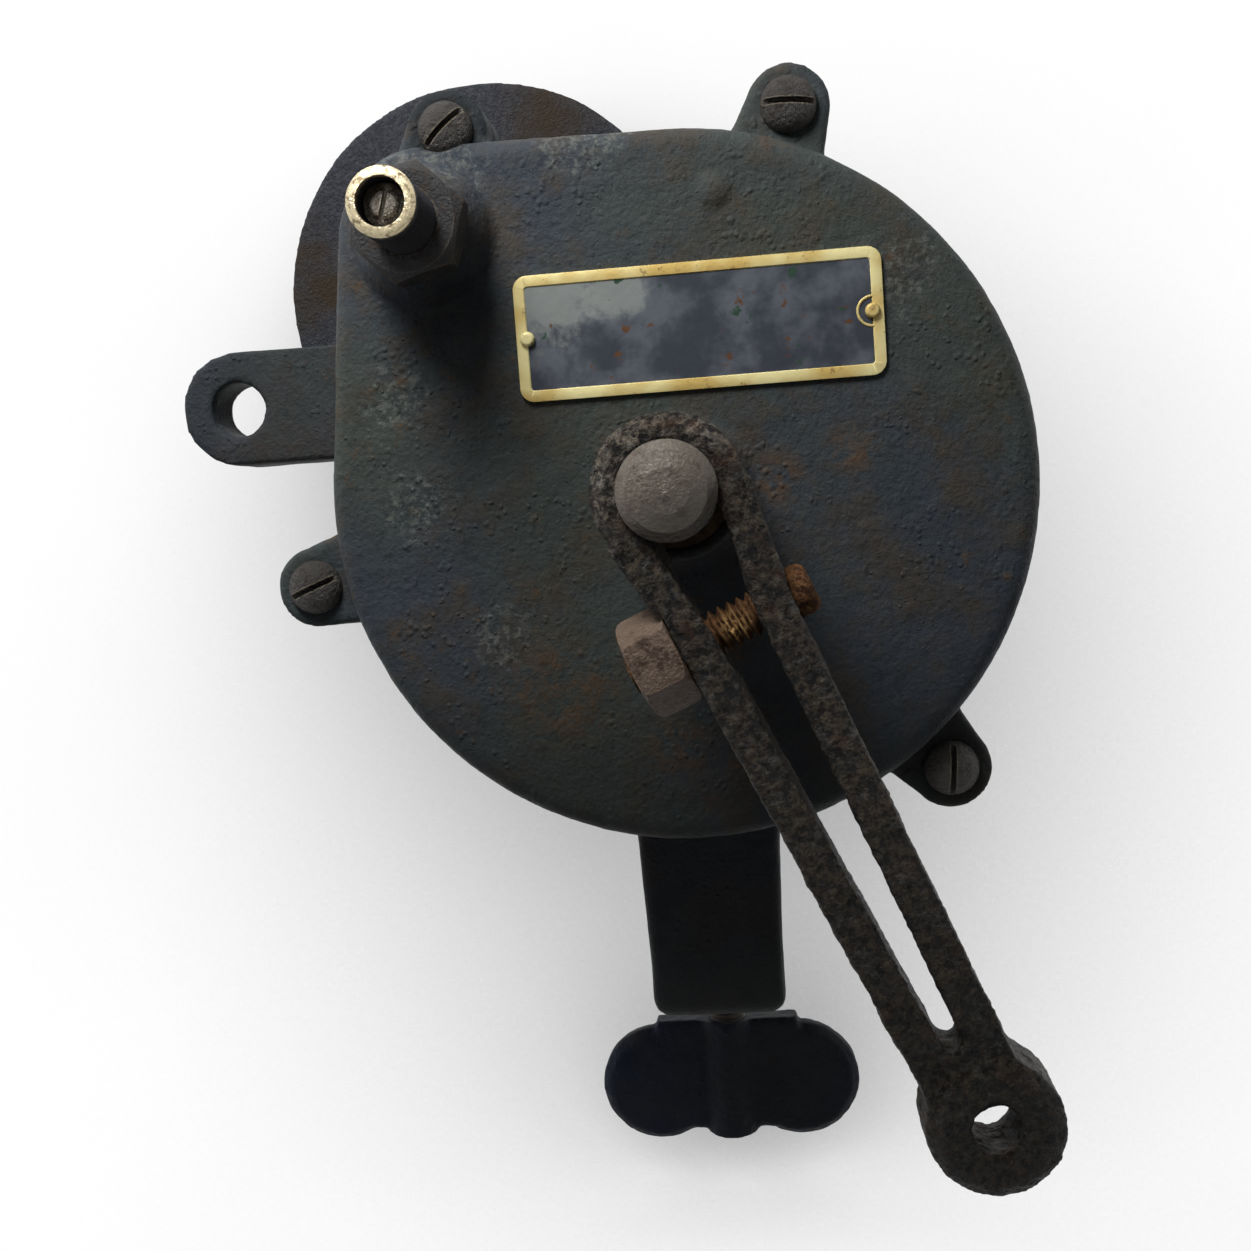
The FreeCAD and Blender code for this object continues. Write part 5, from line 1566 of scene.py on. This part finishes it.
@dataclass
class Studio:
    """Camera, pale floor and backdrop, and soft lamps."""

    lens: float = 40.71
    eye: Triple = (12.90, -286.02, -1.34)
    tilt: Triple = (0.0872, 0.0891, -0.0648)
    floor_drop: float = 20.0
    sweep: float = 70.0
    wall_gap: float = 3.0
    span: float = 6.0
    sky: float = 0.035
    shade_reach: float = 0.25
    shade_lean: Triple = (-0.1, -0.8, 0.6)
    shade_range: tuple[float, float] = (0.1, 0.93)
    shade_deep: float = 0.1
    lamps: tuple[Lamp, ...] = (
        Lamp("lamp_key", (-0.10, -0.225, 0.33), 0.12, 1.25),
        Lamp("lamp_left", (-1.1, 0.15, 0.4), 0.6, 4.0),
        Lamp("lamp_right", (1.1, 0.35, 0.3), 0.6, 3.0),
        Lamp("lamp_back", (0.15, 1.1, 0.35), 0.7, 7.0),
    )

    def camera(self) -> None:
        """Sets the camera where the photograph was taken from."""
        data = bpy.data.cameras.new("camera")
        data.sensor_width = 36.0
        data.lens = self.lens
        data.clip_start, data.clip_end = 0.01, 20.0
        camera = add("camera", data)
        base = Matrix(((1, 0, 0), (0, 0, -1), (0, 1, 0)))
        turn_x = Matrix.Rotation(self.tilt[0], 3, "X")
        turn_y = Matrix.Rotation(self.tilt[1], 3, "Y")
        turn_z = Matrix.Rotation(self.tilt[2], 3, "Z")
        rows = turn_z @ turn_y @ turn_x @ base
        axes = Matrix((rows[0], -rows[1], -rows[2])).transposed()
        camera.matrix_world = Matrix.Translation(place(*self.eye)) @ axes.to_4x4()
        bpy.context.scene.camera = camera

    def seen(self, tree: Tree) -> Socket:
        """A mask that is 1 for the rays of the camera, of reflections and through clear things."""
        ray = tree.node("LightPath")
        mirrored = tree.most(ray.outputs["Is Glossy Ray"], ray.outputs["Is Transmission Ray"])
        return tree.most(ray.outputs["Is Camera Ray"], mirrored)

    def white(self) -> Material:
        """A pale matt surface, white to the camera but for a painted soft shade of the object, and clear from behind.
        """
        made = bpy.data.materials.new("stage_white")
        made.use_nodes = True
        tree = Tree(made.node_tree)
        shader = made.node_tree.nodes["Principled BSDF"]
        shader.inputs["Base Color"].default_value = colour(226, 226, 224)
        shader.inputs["Roughness"].default_value = 0.9
        # Painted shade: occlusion round a normal leaning forward and up darkens the glow below the object's parts, like
        # an overhead lamp's soft shadow.
        lean = tree.out("CombineXYZ", dict(enumerate(Vector(self.shade_lean).normalized())), 0)
        shade = tree.out("AmbientOcclusion", {"Distance": self.shade_reach, "Normal": lean}, "AO", samples=16)
        low, high = self.shade_range
        clear = tree.out("MapRange", {"Value": shade, "From Min": low, "From Max": high}, "Result")
        lit = tree.sum("POWER", clear, 2.0)
        deep = self.shade_deep
        inputs = {0: lit, 6: (deep, deep, deep * 1.02, 1), 7: (1, 1, 1, 1)}
        glow = tree.out("Emission", {"Color": tree.out("Mix", inputs, 2, data_type="RGBA")}, 0)
        front = tree.either(self.seen(tree), shader.outputs[0], glow)
        behind = tree.out("NewGeometry", {}, "Backfacing")
        through = tree.either(behind, front, tree.out("BsdfTransparent", {}, 0))
        tree.put(made.node_tree.nodes["Material Output"].inputs["Surface"], through)
        return made

    def stage(self) -> None:
        """Lays the pale floor just under the object and bends it up just behind it, in one sweep."""
        low, high = (Vector(corner) for corner in CAD_BOX)
        floor = low.z - self.floor_drop * MM
        wall = high.y + self.wall_gap * MM
        Bench.clear()
        bpy.ops.mesh.primitive_plane_add(size=self.span, location=(0, wall - self.span / 2, floor))
        made = Bench.named("floor")
        Bench.settle(made)
        bpy.context.tool_settings.mesh_select_mode = (False, True, False)
        Bench.edit(whole=False)
        bpy.ops.mesh.select_all(action="DESELECT")
        mesh = bmesh.from_edit_mesh(made.data)
        for edge in mesh.edges:
            edge.select_set(all(vert.co.y > wall - MM for vert in edge.verts))
        bmesh.update_edit_mesh(made.data)
        bpy.ops.mesh.extrude_region_move(TRANSFORM_OT_translate={"value": (0, 0, self.span / 2)})
        Bench.pick(made, lambda middle, normal: normal.y > 0.5 or normal.z < -0.5)
        bpy.ops.mesh.flip_normals()
        bpy.ops.mesh.select_mode(type="EDGE")
        bpy.ops.mesh.select_all(action="DESELECT")
        mesh = bmesh.from_edit_mesh(made.data)
        for edge in mesh.edges:
            edge.select_set(all(vert.co.y > wall - MM and vert.co.z < floor + MM for vert in edge.verts))
        bmesh.update_edit_mesh(made.data)
        bpy.ops.mesh.bevel(offset=self.sweep * MM, segments=16)
        Bench.leave()
        made.data.materials.append(self.white())
        made.visible_diffuse = False
        made.visible_shadow = False

    def light(self, lamp: Lamp) -> None:
        """Adds a lamp that faces the object.

        Args:
            lamp: The lamp.
        """
        data = bpy.data.lights.new(lamp.name, "AREA")
        data.shape = "SQUARE"
        data.size = lamp.side
        data.energy = lamp.power
        made = add(lamp.name, data)
        aim = place(0, 0, 0) - Vector(lamp.spot)
        made.matrix_world = Matrix.Translation(lamp.spot) @ aim.to_track_quat("-Z", "Y").to_matrix().to_4x4()
        made.visible_camera = False

    def world(self) -> None:
        """Sets an even dim sky that is white to the camera."""
        world = bpy.data.worlds.new("studio")
        bpy.context.scene.world = world
        world.use_nodes = True
        tree = Tree(world.node_tree)
        glow = world.node_tree.nodes["Background"]
        seen = tree.node("Background")
        seen.inputs["Color"].default_value = (1, 1, 1, 1)
        glow.inputs["Color"].default_value = (0.95, 0.98, 1.0, 1)
        glow.inputs["Strength"].default_value = self.sky
        mix = tree.either(self.seen(tree), glow.outputs[0], seen.outputs[0])
        tree.put(world.node_tree.nodes["World Output"].inputs["Surface"], mix)

    def build(self) -> None:
        """Sets the whole studio up."""
        bpy.context.scene.view_settings.view_transform = "Standard"
        self.camera()
        self.stage()
        self.world()
        for lamp in self.lamps:
            self.light(lamp)


def main() -> None:
    """Builds the studio and every sub-assembly in order."""
    logging.basicConfig(level=logging.INFO, format="%(name)s: %(message)s")
    Studio().build()
    PlainNodes().dress()
    for casting in CASTINGS:
        casting.build()
    CoverScrews().build()
    NamePlate().build()
    WingScrew().build()
    PinchBolt().build()
    Spindle().build()
    Sleeve().build()
    for nut in NUTS:
        nut.build()


if __name__ == "__main__":
    main()
